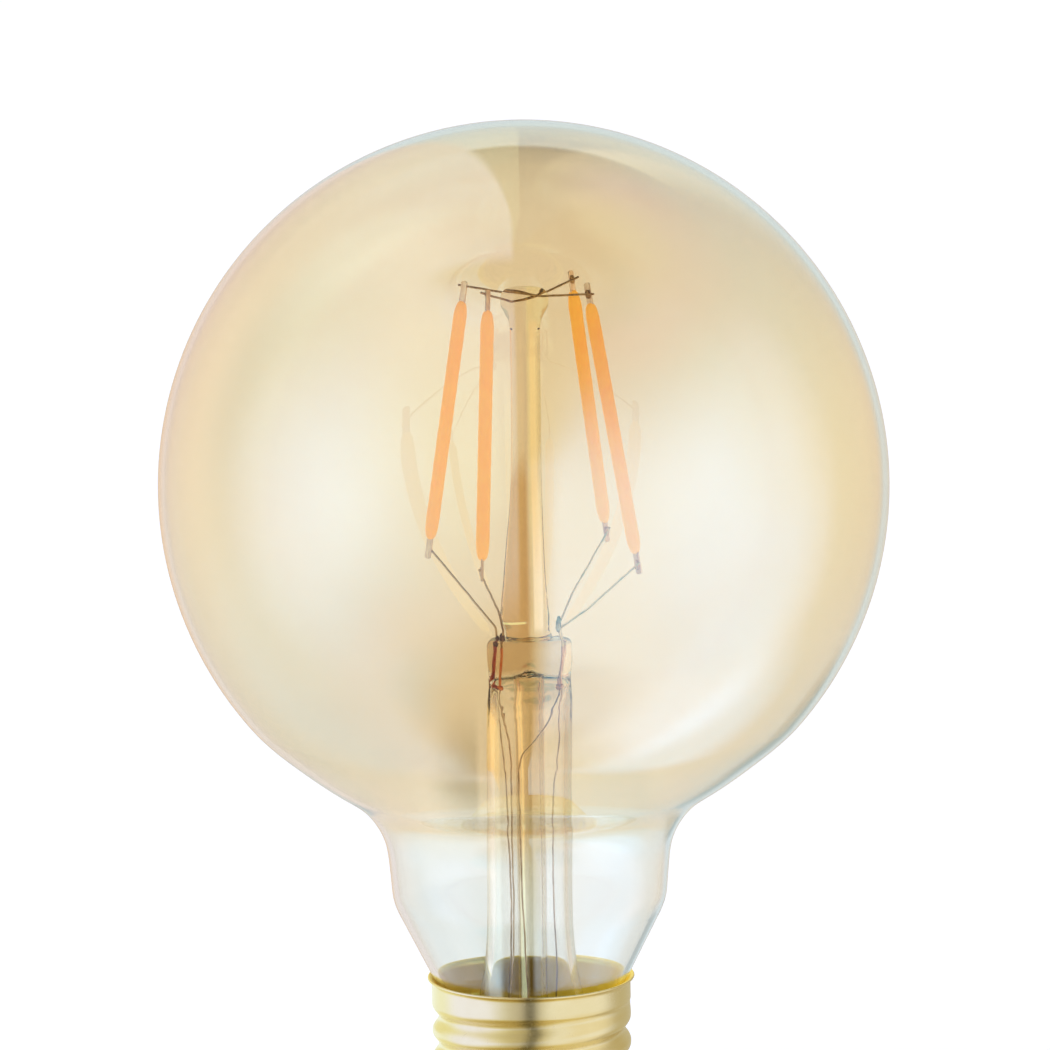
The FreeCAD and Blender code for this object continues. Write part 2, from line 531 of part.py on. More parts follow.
fuse_body = turned([seg((0, -3.2), (0.85, -3.2)), curve([(0.85, -3.2), (1.2, -2.9), (1.15, -2.1), (1.0, -1.6)], (1, 0), (0, 1)).toShape(),
                    seg((1.0, -1.6), (1.0, 1.6)), curve([(1.0, 1.6), (1.15, 2.1), (1.2, 2.9), (0.85, 3.2)], (0, 1), (-1, 0)).toShape(),
                    seg((0.85, 3.2), (0, 3.2)), seg((0, 3.2), (0, -3.2))])
fuse_body.Placement = FreeCAD.Placement(V(-2.0, -6.6, BOARD[1] + 1.35), FreeCAD.Rotation(V(0, 1, 0), 90))
fl1 = round_wire([(-5.0, -6.6, BOARD[1] + 1.35), (-6.0, -6.6, BOARD[1] + 1.35), (-6.0, -6.6, BOARD[1])], 0.25, 0.5)
fl2 = round_wire([(1.0, -6.6, BOARD[1] + 1.35), (2.0, -6.6, BOARD[1] + 1.35), (2.0, -6.6, BOARD[1])], 0.25, 0.5)
save("fusible_resistor", one(fuse_body.fuse(fl1).fuse(fl2)))

choke = turned([seg((0, 0), (2.3, 0)), seg((2.3, 0), (2.3, 0.5)), seg((2.3, 0.5), (1.8, 0.55)), seg((1.8, 0.55), (1.8, 2.85)),
                seg((1.8, 2.85), (2.3, 2.9)), seg((2.3, 2.9), (2.3, 3.4)), seg((2.3, 3.4), (0, 3.4)), seg((0, 3.4), (0, 0))])
choke.translate(V(-5.5, 3.8, BOARD[1]))
save("filter_choke", choke)

wc = round_wire([(0, 0, BOARD[1] + 0.3), (0, 0, 8.6), (0.25, 0.1, 6.6), (0.1, 0.0, 4.6), (0.1, 0, 3.8)], 0.3, 2.0)
save("wire_to_contact", wc)
ws = round_wire([(-7.9, 0, BOARD[0] - 0.5), (-7.9, 0, 12.2), (-9.4, 0.2, 13.0), (-11.2, 0.3, 12.6), (-11.62, 0.3, 11.3)], 0.22, 0.7)
save("wire_to_shell", ws)
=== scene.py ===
import math

import bpy
import numpy as np
from mathutils import Matrix, Vector


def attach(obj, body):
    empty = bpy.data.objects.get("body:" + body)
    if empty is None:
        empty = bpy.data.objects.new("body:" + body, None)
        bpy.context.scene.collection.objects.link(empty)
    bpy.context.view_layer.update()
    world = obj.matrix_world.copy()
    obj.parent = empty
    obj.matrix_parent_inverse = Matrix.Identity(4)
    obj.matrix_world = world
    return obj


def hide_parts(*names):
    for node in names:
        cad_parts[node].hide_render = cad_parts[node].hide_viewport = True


# Looks of the globe lamp. Everything is built in millimetres, upright on its axis, and stored in metres.
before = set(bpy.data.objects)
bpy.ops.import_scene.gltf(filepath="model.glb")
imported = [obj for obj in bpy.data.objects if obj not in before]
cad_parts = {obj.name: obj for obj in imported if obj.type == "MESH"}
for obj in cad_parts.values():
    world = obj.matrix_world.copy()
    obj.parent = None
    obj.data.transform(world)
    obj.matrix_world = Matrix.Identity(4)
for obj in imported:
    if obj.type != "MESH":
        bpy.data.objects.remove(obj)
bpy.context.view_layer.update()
scene = bpy.context.scene
MM = 0.001

# ------------------------------------------------------------------ sizes, as in the solid model
OVERALL, GLOBE_R, WALL = 138.0, 47.5, 0.8
GLOBE_Z = OVERALL - GLOBE_R
CONE_R28, CONE_SLOPE = 14.17, 0.508
SEAL_R, SEAL_Z = 11.6, 13.6
NECK = [(17.13, 34.0), (17.56, 35.0), (17.87, 36.0), (18.02, 37.0), (18.14, 38.5), (18.318, 40.5),
        (18.793, 43.5), (19.914, 46.0), (21.954, 48.5), (25.519, 51.0), (30.338, 54.5)]
JOIN_Z = 60.0
THREAD_R, THREAD_ROOT, PITCH, THREAD_Z0, SHEET = 13.05, 12.2, 3.629, 18.27, 0.3
RIM_Z, BAND_TOP, THREAD_TOP, THREAD_END, LIP_R = 25.4, 24.55, 22.35, 7.6, 10.35
MX, TUBE_WALL, ROD_R, BUTTON_R, ROD_TOP = 0.42, 1.0, 1.93, 3.1, 116.5
FIL_R, TAB_W, TAB_T, TAB_OUT, TAB_IN = 0.88, 0.9, 0.2, 2.7, 1.2
ARM_R, UPPER_R, SEAL_WIRE_R, LEAD_R = 0.14, 0.14, 0.16, 0.11


def V(*p):
    return np.array(p, float)


def unit(v):
    return v / np.linalg.norm(v)


# ------------------------------------------------------------------ camera
ELEV, ROLL = math.radians(9.9), math.radians(0.853)
fwd = V(0, math.cos(ELEV), -math.sin(ELEV))
r0, u0 = V(1, 0, 0), V(0, math.sin(ELEV), math.cos(ELEV))
right = r0 * math.cos(ROLL) - u0 * math.sin(ROLL)
up = r0 * math.sin(ROLL) + u0 * math.cos(ROLL)
cam_data = bpy.data.cameras.new("camera")
cam_data.lens, cam_data.sensor_width = 290.0, 36.0
cam_data.clip_start, cam_data.clip_end = 0.05, 60.0
cam = bpy.data.objects.new("camera", cam_data)
scene.collection.objects.link(cam)
pos = V(0.0909, -1083.1414, 274.3230) * MM
cam.matrix_world = Matrix([[right[i], up[i], -fwd[i], pos[i]] for i in range(3)] + [[0, 0, 0, 1]])
scene.camera = cam


# ------------------------------------------------------------------ mesh helpers
def smooth_noise(p, seed, scale):
    """Gentle repeatable variation in -1..1 along a path or round a surface: a few sines with fixed phases."""
    rng = np.random.RandomState(seed)
    out = np.zeros(np.shape(p)[0] if np.ndim(p) > 1 else np.shape(p))
    for k in range(5):
        f = (0.6 + 0.9 * k) / scale * rng.uniform(0.8, 1.2)
        if np.ndim(p) > 1:
            d = unit(rng.normal(size=np.shape(p)[1]))
            out = out + np.sin(2 * np.pi * f * (p @ d) + rng.uniform(0, 6.28)) / (1 + 0.8 * k)
        else:
            out = out + np.sin(2 * np.pi * f * p + rng.uniform(0, 6.28)) / (1 + 0.8 * k)
    return out / 2.2


def join(parts):
    """[(vertices, faces, material index)] as one set."""
    vs, fs, ms, n = [], [], [], 0
    for v, f, m in parts:
        vs.append(np.asarray(v, float))
        fs += [tuple(i + n for i in face) for face in f]
        ms += list(m) if np.ndim(m) else [m] * len(f)
        n += len(v)
    return np.concatenate(vs), fs, ms


def piece(name, parts, mats, nodes=(), sharp=None):
    v, f, m = join(parts)
    me = bpy.data.meshes.new(name)
    me.from_pydata((v * MM).tolist(), [], f)
    for mat in mats:
        me.materials.append(mat)
    me.polygons.foreach_set("material_index", np.array(m, np.int32))
    me.polygons.foreach_set("use_smooth", np.ones(len(f), bool))
    me.update()
    if sharp:
        mark_sharp(me, sharp)
    ob = bpy.data.objects.new(name, me)
    scene.collection.objects.link(ob)
    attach(ob, "root")
    if nodes:
        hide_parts(*nodes)
    return ob


def mark_sharp(me, degrees):
    """Edges that turn by more than this keep a crisp shade."""
    normals = np.array([p.normal for p in me.polygons])
    seen, sharp = {}, np.zeros(len(me.edges), bool)
    for p in me.polygons:
        for li in p.loop_indices:
            seen.setdefault(me.loops[li].edge_index, []).append(p.index)
    lim = math.cos(math.radians(degrees))
    for e, ps in seen.items():
        if len(ps) == 2 and float(normals[ps[0]] @ normals[ps[1]]) < lim:
            sharp[e] = True
    att = me.attributes.get("sharp_edge") or me.attributes.new("sharp_edge", "BOOLEAN", "EDGE")
    att.data.foreach_set("value", sharp)


def fixed(v, f, outward=True):
    """Faces turned so that the closed surface has positive volume."""
    v = np.asarray(v, float)
    tri = np.array([(face[0], face[i], face[i + 1]) for face in f for i in range(1, len(face) - 1)])
    vol = float(np.einsum("ij,ij->", v[tri[:, 0]], np.cross(v[tri[:, 1]], v[tri[:, 2]])))
    if (vol < 0) == outward:
        f = [tuple(reversed(face)) for face in f]
    return v, f


def grid(rings, closed_v=False, caps=(False, False)):
    """Surface through rings of equal length, each ring closed. caps: flat or domed fan at either end."""
    n, m = len(rings), len(rings[0])
    v = np.concatenate([np.asarray(r, float) for r in rings])
    f = []
    for i in range(n if closed_v else n - 1):
        a, b = i * m, ((i + 1) % n) * m
        for j in range(m):
            k = (j + 1) % m
            f.append((a + j, a + k, b + k, b + j))
    for which, on in zip((0, n - 1), caps):
        if on:
            c = len(v)
            v = np.vstack([v, v[which * m:(which + 1) * m].mean(0)])
            for j in range(m):
                k = (j + 1) % m
                f.append((c, which * m + k, which * m + j) if which == 0 else (c, which * m + j, which * m + k))
    return fixed(v, f)


def lathe(path, segs=128, centre=(0.0, 0.0), radial=None, closed=False):
    """Surface of revolution of a path of (r, z). Ends on the axis close in a point."""
    path = [tuple(p) for p in path]
    t = np.arange(segs) * 2 * np.pi / segs
    v, rows = [], []
    for r, z in path:
        if r < 1e-6:
            rows.append((len(v), 1))
            v.append((centre[0], centre[1], z))
        else:
            rr = r + (radial(t, r, z) if radial else 0.0 * t)
            rows.append((len(v), segs))
            v += list(zip(centre[0] + rr * np.cos(t), centre[1] + rr * np.sin(t), z + 0 * t))
    f = []
    n = len(rows)
    for i in range(n if closed else n - 1):
        (a, ca), (b, cb) = rows[i], rows[(i + 1) % n]
        for j in range(segs):
            k = (j + 1) % segs
            if ca == 1 and cb == 1:
                continue
            if ca == 1:
                f.append((a, b + j, b + k))
            elif cb == 1:
                f.append((a + k, a + j, b))
            else:
                f.append((a + j, b + j, b + k, a + k))
    return fixed(np.array(v), f)


def clamped(points, t0, t1, steps):
    """Smooth curve through (r, z) points with given end directions, chord-length parameter, evenly sampled."""
    p = np.array(points, float)
    h = np.linalg.norm(np.diff(p, axis=0), axis=1)
    u = np.concatenate([[0], np.cumsum(h)])
    n = len(p)
    a = np.zeros((n, n))
    rhs = np.zeros((n, p.shape[1]))
    a[0, 0] = a[-1, -1] = 1
    rhs[0], rhs[-1] = unit(np.array(t0, float)), unit(np.array(t1, float))
    for i in range(1, n - 1):
        a[i, i - 1], a[i, i], a[i, i + 1] = h[i], 2 * (h[i - 1] + h[i]), h[i - 1]
        rhs[i] = 3 * (h[i] / h[i - 1] * (p[i] - p[i - 1]) + h[i - 1] / h[i] * (p[i + 1] - p[i]))
    d = np.linalg.solve(a, rhs)
    out = []
    for s in np.linspace(0, u[-1], steps):
        i = min(n - 2, int(np.searchsorted(u, s, side="right") - 1))
        x = (s - u[i]) / h[i]
        h00, h10 = 2 * x ** 3 - 3 * x * x + 1, x ** 3 - 2 * x * x + x
        h01, h11 = -2 * x ** 3 + 3 * x * x, x ** 3 - x * x
        out.append(h00 * p[i] + h10 * h[i] * d[i] + h01 * p[i + 1] + h11 * h[i] * d[i + 1])
    return [tuple(q) for q in out]


def line_pts(a, b, n):
    return [tuple(np.array(a) + (np.array(b) - np.array(a)) * k / (n - 1)) for k in range(n)]


def pchip(x, y):
    """Interpolator that never overshoots."""
    x, y = np.array(x, float), np.array(y, float)
    h, dl = np.diff(x), np.diff(y) / np.diff(x)
    d = np.zeros(len(x))
    for i in range(1, len(x) - 1):
        if dl[i - 1] * dl[i] > 0:
            w1, w2 = 2 * h[i] + h[i - 1], h[i] + 2 * h[i - 1]
            d[i] = (w1 + w2) / (w1 / dl[i - 1] + w2 / dl[i])
    d[0], d[-1] = dl[0], dl[-1]

    def f(q):
        i = int(np.clip(np.searchsorted(x, q, side="right") - 1, 0, len(x) - 2))
        s = (q - x[i]) / h[i]
        return ((2 * s ** 3 - 3 * s * s + 1) * y[i] + (s ** 3 - 2 * s * s + s) * h[i] * d[i]
                + (-2 * s ** 3 + 3 * s * s) * y[i + 1] + (s ** 3 - s * s) * h[i] * d[i + 1])
    return f


def superellipse(z, cx, a, b, n, count):
    t = np.arange(count) * 2 * np.pi / count
    c, s = np.cos(t), np.sin(t)
    k = (np.abs(c) ** n + np.abs(s) ** n) ** (-1.0 / n)
    return np.stack([cx + a * c * k, b * s * k, z + 0 * t], 1)


def sectioned(secs):
    """secs: (z, cx, a, b, n). Returns a function of z."""
    z = [s[0] for s in secs]
    fs = [pchip(z, [s[k] for s in secs]) for k in range(1, 5)]
    return lambda q: [f(q) for f in fs]


# ------------------------------------------------------------------ shader helpers
class Tree:
    """Short forms for building node trees."""

    def __init__(self, tree):
        self.t, self.n, self.l = tree, tree.nodes, tree.links

    def add(self, kind, **props):
        node = self.n.new(kind)
        for k, v in props.items():
            setattr(node, k, v)
        return node

    def put(self, socket, value):
        if isinstance(value, bpy.types.NodeSocket):
            self.l.new(value, socket)
        elif value is not None:
            socket.default_value = value

    def math(self, op, a, b=None, c=None, clamp=False):
        node = self.add("ShaderNodeMath", operation=op, use_clamp=clamp)
        for s, v in zip(node.inputs, (a, b, c)):
            self.put(s, v)
        return node.outputs[0]

    def step(self, v, lo, hi, out_lo=0.0, out_hi=1.0, smooth=True):
        node = self.add("ShaderNodeMapRange", interpolation_type="SMOOTHSTEP" if smooth else "LINEAR", clamp=True)
        for s, x in zip(("Value", "From Min", "From Max", "To Min", "To Max"), (v, lo, hi, out_lo, out_hi)):
            self.put(node.inputs[s], x)
        return node.outputs[0]

    def xyz(self, vector):
        node = self.add("ShaderNodeSeparateXYZ")
        self.put(node.inputs[0], vector)
        return node.outputs

    def combine(self, x, y, z):
        node = self.add("ShaderNodeCombineXYZ")
        for s, v in zip(node.inputs, (x, y, z)):
            self.put(s, v)
        return node.outputs[0]

    def noise(self, vector, scale, detail=3.0, rough=0.5, distortion=0.0):
        node = self.add("ShaderNodeTexNoise", noise_dimensions="3D")
        self.put(node.inputs["Vector"], vector)
        node.inputs["Scale"].default_value = scale
        node.inputs["Detail"].default_value = detail
        node.inputs["Roughness"].default_value = rough
        node.inputs["Distortion"].default_value = distortion
        return node.outputs["Fac"]

    def scaled(self, vector, s):
        node = self.add("ShaderNodeVectorMath", operation="MULTIPLY")
        self.put(node.inputs[0], vector)
        node.inputs[1].default_value = s
        return node.outputs[0]

    def mix(self, fac, a, b, mode="MIX"):
        node = self.add("ShaderNodeMix", data_type="RGBA", blend_type=mode, clamp_factor=True)
        self.put(node.inputs[0], fac)
        for s, v in ((node.inputs[6], a), (node.inputs[7], b)):
            self.put(s, (*v, 1.0) if isinstance(v, tuple) and len(v) == 3 else v)
        return node.outputs[2]

    def ramp(self, fac, stops, mode="LINEAR"):
        node = self.add("ShaderNodeValToRGB")
        node.color_ramp.interpolation = mode
        el = node.color_ramp.elements
        while len(el) > 1:
            el.remove(el[-1])
        el[0].position, el[0].color = stops[0][0], (*stops[0][1], 1.0)
        for p, c in stops[1:]:
            e = el.new(p)
            e.color = (*c, 1.0)
        self.put(node.inputs[0], fac)
        return node.outputs[0]

    def bump(self, height, strength, distance, normal=None):
        node = self.add("ShaderNodeBump")
        node.inputs["Strength"].default_value = strength
        node.inputs["Distance"].default_value = distance
        self.put(node.inputs["Height"], height)
        if normal is not None:
            self.put(node.inputs["Normal"], normal)
        return node.outputs[0]


def material(name):
    m = bpy.data.materials.new(name)
    m.use_nodes = True
    m.node_tree.nodes.clear()
    t = Tree(m.node_tree)
    t.out = t.add("ShaderNodeOutputMaterial")
    t.bsdf = t.add("ShaderNodeBsdfPrincipled")
    t.l.new(t.bsdf.outputs[0], t.out.inputs["Surface"])
    t.where = t.add("ShaderNodeTexCoord").outputs["Object"]
    t.m = m
    return t


def setp(t, **values):
    names = {"color": "Base Color", "metal": "Metallic", "rough": "Roughness", "ior": "IOR", "trans": "Transmission Weight",
             "tint": "Specular Tint", "level": "Specular IOR Level", "coat": "Coat Weight", "coat_rough": "Coat Roughness",
             "sheen": "Sheen Weight", "normal": "Normal", "sss": "Subsurface Weight", "sss_radius": "Subsurface Radius",
             "sss_scale": "Subsurface Scale", "emit": "Emission Color", "emit_strength": "Emission Strength",
             "aniso": "Anisotropic", "coat_ior": "Coat IOR", "coat_tint": "Coat Tint"}
    for k, v in values.items():
        s = t.bsdf.inputs[names[k]]
        if isinstance(v, tuple) and len(v) == 3 and s.type == "RGBA":
            v = (*v, 1.0)
        t.put(s, v)


def see_through(t, shadow):
    """Light reaches what is inside the glass: shadow rays pass it with this tint."""
    clear = t.add("ShaderNodeBsdfTransparent")
    clear.inputs[0].default_value = (*shadow, 1.0)
    mix = t.add("ShaderNodeMixShader")
    path = t.add("ShaderNodeLightPath")
    t.l.new(path.outputs["Is Shadow Ray"], mix.inputs[0])
    t.l.new(t.bsdf.outputs[0], mix.inputs[1])
    t.l.new(clear.outputs[0], mix.inputs[2])
    t.l.new(mix.outputs[0], t.out.inputs["Surface"])


# ------------------------------------------------------------------ materials
def coated_glass():
    """Thin amber coating on the globe, a little uneven, fading out where the neck begins, with a painted shade beside
    the stem's left edge.
    """
    t = material("amber_coated_glass")
    z = t.xyz(t.where)[2]
    cloud = t.noise(t.where, 38.0, 2.0, 0.5)
    amber = t.mix(t.step(cloud, 0.35, 0.65), (0.914, 0.843, 0.612), (0.928, 0.857, 0.636))
    wander = t.math("MULTIPLY", t.noise(t.where, 120.0, 1.0), 0.0012)
    front = t.step(t.xyz(t.where)[1], -0.006, 0.006, 1.0, 0.0)
    fade = t.step(t.math("ADD", z, wander), 0.0438, t.math("MULTIPLY_ADD", front, 0.0060, 0.0449))
    x, y, _ = t.xyz(t.where)
    # painted shade: a darker band on the coating that hugs the stem's left edge
    dx, dz = t.math("MULTIPLY", t.math("ADD", x, 0.0072), 160.0), t.math("MULTIPLY", t.math("SUBTRACT", z, 0.0585), 76.0)
    stem_shade = t.step(t.math("SQRT", t.math("ADD", t.math("MULTIPLY", dx, dx), t.math("MULTIPLY", dz, dz))), 0.15, 1.0, 1.0, 0.0)
    stem_shade = t.math("MULTIPLY", stem_shade, t.math("MULTIPLY", t.step(x, -0.0068, -0.0058, 1.0, 0.0), t.step(y, -0.006, 0.0, 1.0, 0.0)))
    amber = t.mix(stem_shade, amber, (0.705, 0.650, 0.455))
    setp(t, color=t.mix(fade, (0.904, 0.906, 0.826), amber), rough=0.0, ior=2.0, trans=1.0,
         tint=t.mix(fade, (0.36, 0.36, 0.36), (0.40, 0.74, 1.0)))
    see_through(t, (0.90, 0.80, 0.60))
    return t.m


def clear_glass(name, low, high, z0, z1, ior=1.5, rough=0.0, tint=(1.0, 1.0, 1.0), shadow=(0.97, 0.97, 0.96)):
    """Drawn lead-free glass: faint draw lines in its tint, coloured by the coating's light above z1."""
    t = material(name)
    z = t.xyz(t.where)[2]
    lines = t.noise(t.scaled(t.where, (1.0, 1.0, 0.06)), 900.0, 2.0)
    base = t.mix(t.step(z, z0, z1), low, high)
    dim = tuple(0.985 * c for c in high)
    setp(t, color=t.mix(t.math("MULTIPLY", t.step(lines, 0.45, 0.7), 0.35), base, dim), rough=rough, ior=ior, trans=1.0, tint=tint)
    see_through(t, shadow)
    return t.m


def rod_glass(name, ior):
    """Support rod: clear glass with painted light and shade: darker on its left, a painted amber wedge low on its left,
    amber higher up on its right, a painted dark band on its right flank, a long painted streak of warm light and a
    painted glint.
    """
    t = material(name)
    x, y, z = t.xyz(t.where)
    lines = t.noise(t.scaled(t.where, (1.0, 1.0, 0.05)), 1100.0, 2.0)
    # painted light and shade: the right half turns amber higher up for the coating's light, the left half is painted
    # darker
    low = t.step(z, 0.076, 0.096)
    right_side = t.mix(low, (0.985, 0.965, 0.900), (0.985, 0.930, 0.700))
    col = t.mix(t.step(x, 0.0004, 0.0009), (0.895, 0.825, 0.735), right_side)
    col = t.mix(t.math("MULTIPLY", t.step(lines, 0.45, 0.7), 0.3), col, (0.940, 0.885, 0.760))
    # painted reflection of the strips' amber: a wedge, narrow at the top and as wide as the rod's left half at the foot
    edge = t.step(z, 0.0825, 0.0955, -0.0046, -0.0002, False)
    wedge = t.math("MULTIPLY", t.step(t.math("SUBTRACT", x, edge), -0.0002, 0.0003), t.step(x, 0.0001, 0.0007, 1.0, 0.0))
    wedge = t.math("MULTIPLY", wedge, t.step(z, 0.0900, 0.0965, 1.0, 0.0))
    col = t.mix(wedge, col, (0.745, 0.560, 0.335))
    # painted shade: a darker band down the right flank
    flank = t.math("MULTIPLY", t.step(x, 0.00165, 0.00190), t.math("MULTIPLY", t.step(z, 0.084, 0.094), t.step(z, 0.1085, 0.1120, 1.0, 0.0)))
    col = t.mix(flank, col, (0.740, 0.680, 0.530))
    xs = t.math("MULTIPLY", x, t.math("MULTIPLY_ADD", low, 0.14, 0.86))
    streak = t.math("MULTIPLY", t.math("MULTIPLY", t.step(xs, 0.00085, 0.00105), t.step(xs, 0.00185, 0.00210, 1.0, 0.0)),
                    t.math("MULTIPLY", t.step(z, 0.0705, 0.0725), t.step(z, 0.1118, 0.1128, 1.0, 0.0)))
    streak = t.math("MULTIPLY", streak, t.step(y, -0.0004, 0.0, 1.0, 0.0))
    glint = t.math("MULTIPLY_ADD", x, -0.10, z)
    glint = t.math("MULTIPLY", t.step(glint, 0.07255, 0.07270), t.step(glint, 0.07285, 0.07300, 1.0, 0.0))
    glint = t.math("MULTIPLY", glint, t.math("MULTIPLY", t.step(x, -0.0032, -0.0028), t.step(x, -0.0002, 0.0003, 1.0, 0.0)))
    glint = t.math("MULTIPLY", glint, t.step(y, -0.0006, 0.0, 1.0, 0.0))
    shine = t.math("ADD", t.math("MULTIPLY", streak, t.step(z, 0.076, 0.096, 0.40, 0.09)), t.math("MULTIPLY", glint, 0.48))
    hue = t.mix(glint, t.mix(low, (0.62, 0.72, 0.90), (1.0, 0.42, 0.05)), (0.66, 1.0, 0.60))
    setp(t, color=col, rough=0.0, ior=ior, trans=1.0, emit=hue, emit_strength=shine)
    see_through(t, (0.97, 0.95, 0.90))
    return t.m


def stem_glass(name, ior):
    """Stem: clear tube whose left wall carries a painted band of light, amber where the coated globe lights it, pale
    below;
    the glass is painted amber higher up for the coating's light; the pressed top has painted shade, darker amber on the
    left, paler on the right."""
    t = material(name)
    x, y, z = t.xyz(t.where)
    lines = t.noise(t.scaled(t.where, (1.0, 1.0, 0.06)), 900.0, 2.0)
    # painted light: the glass turns amber higher up, for the coating's light on it
    base = t.mix(t.step(z, 0.034, 0.054), (0.985, 0.985, 0.965), (0.975, 0.930, 0.850))
    base = t.mix(t.math("MULTIPLY", t.step(lines, 0.45, 0.7), 0.35), base, (0.955, 0.925, 0.865))
    sway = t.math("MULTIPLY", t.math("SUBTRACT", t.noise(t.scaled(t.where, (1.0, 1.0, 0.4)), 260.0, 2.0), 0.5), 0.0009)
    xe = t.math("ADD", x, sway)
    # painted shade on the pressed top: darker amber on the left, paler on the right
    press_shade = t.mix(t.step(xe, 0.0000, 0.0016), (0.700, 0.550, 0.350), (0.850, 0.800, 0.690))
    base = t.mix(t.step(t.math("ADD", z, sway), 0.0648, 0.0660), base, press_shade)
    depth = t.math("SQRT", t.math("ADD", t.math("MULTIPLY", x, x), t.math("MULTIPLY", y, y)))
    outside = t.math("MULTIPLY", t.step(depth, 0.0049, 0.0051), t.step(y, -0.0006, 0.0002, 1.0, 0.0))
    band = t.math("MULTIPLY", t.step(xe, -0.0056, -0.0052), t.step(xe, -0.0040, -0.0034, 1.0, 0.0))
    slope = t.math("MULTIPLY_ADD", t.math("ADD", x, 0.0055), 1.5, z)
    band = t.math("MULTIPLY", t.math("MULTIPLY", band, outside), t.step(slope, 0.0615, 0.0628, 1.0, 0.0))
    band = t.math("MULTIPLY", band, t.step(z, 0.0215, 0.0255))
    hue = t.mix(t.step(t.math("ADD", slope, sway), 0.0530, 0.0538), (0.72, 0.86, 1.0), (1.0, 0.75, 0.27))
    glow = t.math("MULTIPLY_ADD", t.step(z, 0.040, 0.049), 0.01, 0.26)
    # the press catches pale light down its right flank
    edge = t.math("MULTIPLY", t.step(xe, 0.0043, 0.0049), t.math("MULTIPLY", t.step(z, 0.0635, 0.0655), t.step(z, 0.0694, 0.0702, 1.0, 0.0)))
    edge = t.math("MULTIPLY", edge, t.step(y, -0.0008, 0.0, 1.0, 0.0))
    hue = t.mix(edge, hue, (1.0, 0.80, 0.46))
    shine = t.math("ADD", t.math("MULTIPLY", band, glow), t.math("MULTIPLY", edge, 0.22))
    setp(t, color=base, rough=0.0, ior=ior, trans=1.0, emit=hue, emit_strength=shine)
    see_through(t, (0.97, 0.97, 0.96))
    return t.m


def exhaust_glass():
    """Thin tube inside the stem, painted amber higher up for the coating's light, with a narrow painted highlight down
    its left front.
    """
    t = material("exhaust_glass")
    x, y, z = t.xyz(t.where)
    lines = t.noise(t.scaled(t.where, (1.0, 1.0, 0.06)), 900.0, 2.0)
    # painted light: amber higher up, for the coating's light
    base = t.mix(t.step(z, 0.028, 0.044), (0.955, 0.955, 0.900), (0.965, 0.910, 0.780))
    base = t.mix(t.math("MULTIPLY", t.step(lines, 0.45, 0.7), 0.35), base, (0.945, 0.890, 0.770))
    sway = t.math("MULTIPLY", t.math("SUBTRACT", t.noise(t.scaled(t.where, (1.0, 1.0, 0.3)), 190.0, 2.0), 0.5), 0.0005)
    xe = t.math("ADD", x, sway)
    # painted highlight: a narrow emissive line down the left front
    line_ = t.math("MULTIPLY", t.step(xe, -0.00150, -0.00130), t.step(xe, -0.00070, -0.00040, 1.0, 0.0))
    line_ = t.math("MULTIPLY", line_, t.math("MULTIPLY", t.step(y, -0.0013, -0.0010, 1.0, 0.0), t.step(z, 0.0190, 0.0240)))
    line_ = t.math("MULTIPLY", line_, t.step(z, 0.0632, 0.0645, 1.0, 0.0))
    hue = t.mix(t.step(z, 0.036, 0.046), (0.80, 0.95, 0.66), (1.0, 0.80, 0.42))
    setp(t, color=base, rough=0.0, ior=1.5, trans=1.0, emit=hue, emit_strength=t.math("MULTIPLY", line_, 0.46))
    see_through(t, (0.97, 0.97, 0.96))
    return t.m


def wire(name, dark, light, rough=0.32, metal=1.0, blue=None):
    """Drawn wire: streaks along it, a little tarnish, heat colours near the welds."""
    t = material(name)
    streak = t.noise(t.scaled(t.where, (1.0, 1.0, 0.25)), 2600.0, 4.0, 0.6)
    patch = t.noise(t.where, 420.0, 2.0)
    col = t.mix(t.step(streak, 0.3, 0.7), dark, light)
    if blue:
        col = t.mix(t.math("MULTIPLY", t.step(patch, 0.52, 0.66), 0.7), col, blue)
    setp(t, color=col, metal=metal, rough=t.step(patch, 0.2, 0.8, rough * 0.8, rough * 1.3, False), normal=t.bump(streak, 0.25, 0.00002))
    return t.m


def phosphor():
    """Silicone loaded with orange phosphor over the chips, with a painted glow that is paler towards the lower right.
    """
    t = material("orange_phosphor")
    grain = t.noise(t.where, 5200.0, 3.0, 0.6)
    mott = t.noise(t.where, 700.0, 3.0, 0.5)
    along = t.noise(t.scaled(t.where, (0.25, 0.25, 1.0)), 260.0, 1.0)
    col = t.mix(t.step(mott, 0.3, 0.7), (1.0, 0.39, 0.012), (1.0, 0.46, 0.030))
    col = t.mix(t.math("MULTIPLY", t.step(along, 0.45, 0.62), 0.35), col, (1.0, 0.50, 0.045))
    setp(t, color=col, rough=t.step(grain, 0.2, 0.8, 0.38, 0.52, False), ior=1.41, sss=0.2, sss_scale=0.0005,
         normal=t.bump(t.math("ADD", t.math("MULTIPLY", grain, 0.4), mott), 0.35, 0.00004),
         # painted light: an orange glow on the strips, paler towards the lower right
         emit=t.mix(t.math("MULTIPLY", t.step(t.xyz(t.where)[0], 0.002, 0.006), t.step(t.xyz(t.where)[2], 0.086, 0.106, 1.0, 0.0)),
                    (1.0, 0.64, 0.15), (0.86, 0.86, 0.40)), emit_strength=0.44)
    t.bsdf.inputs["Subsurface Radius"].default_value = (1.0, 0.5, 0.15)
    return t.m


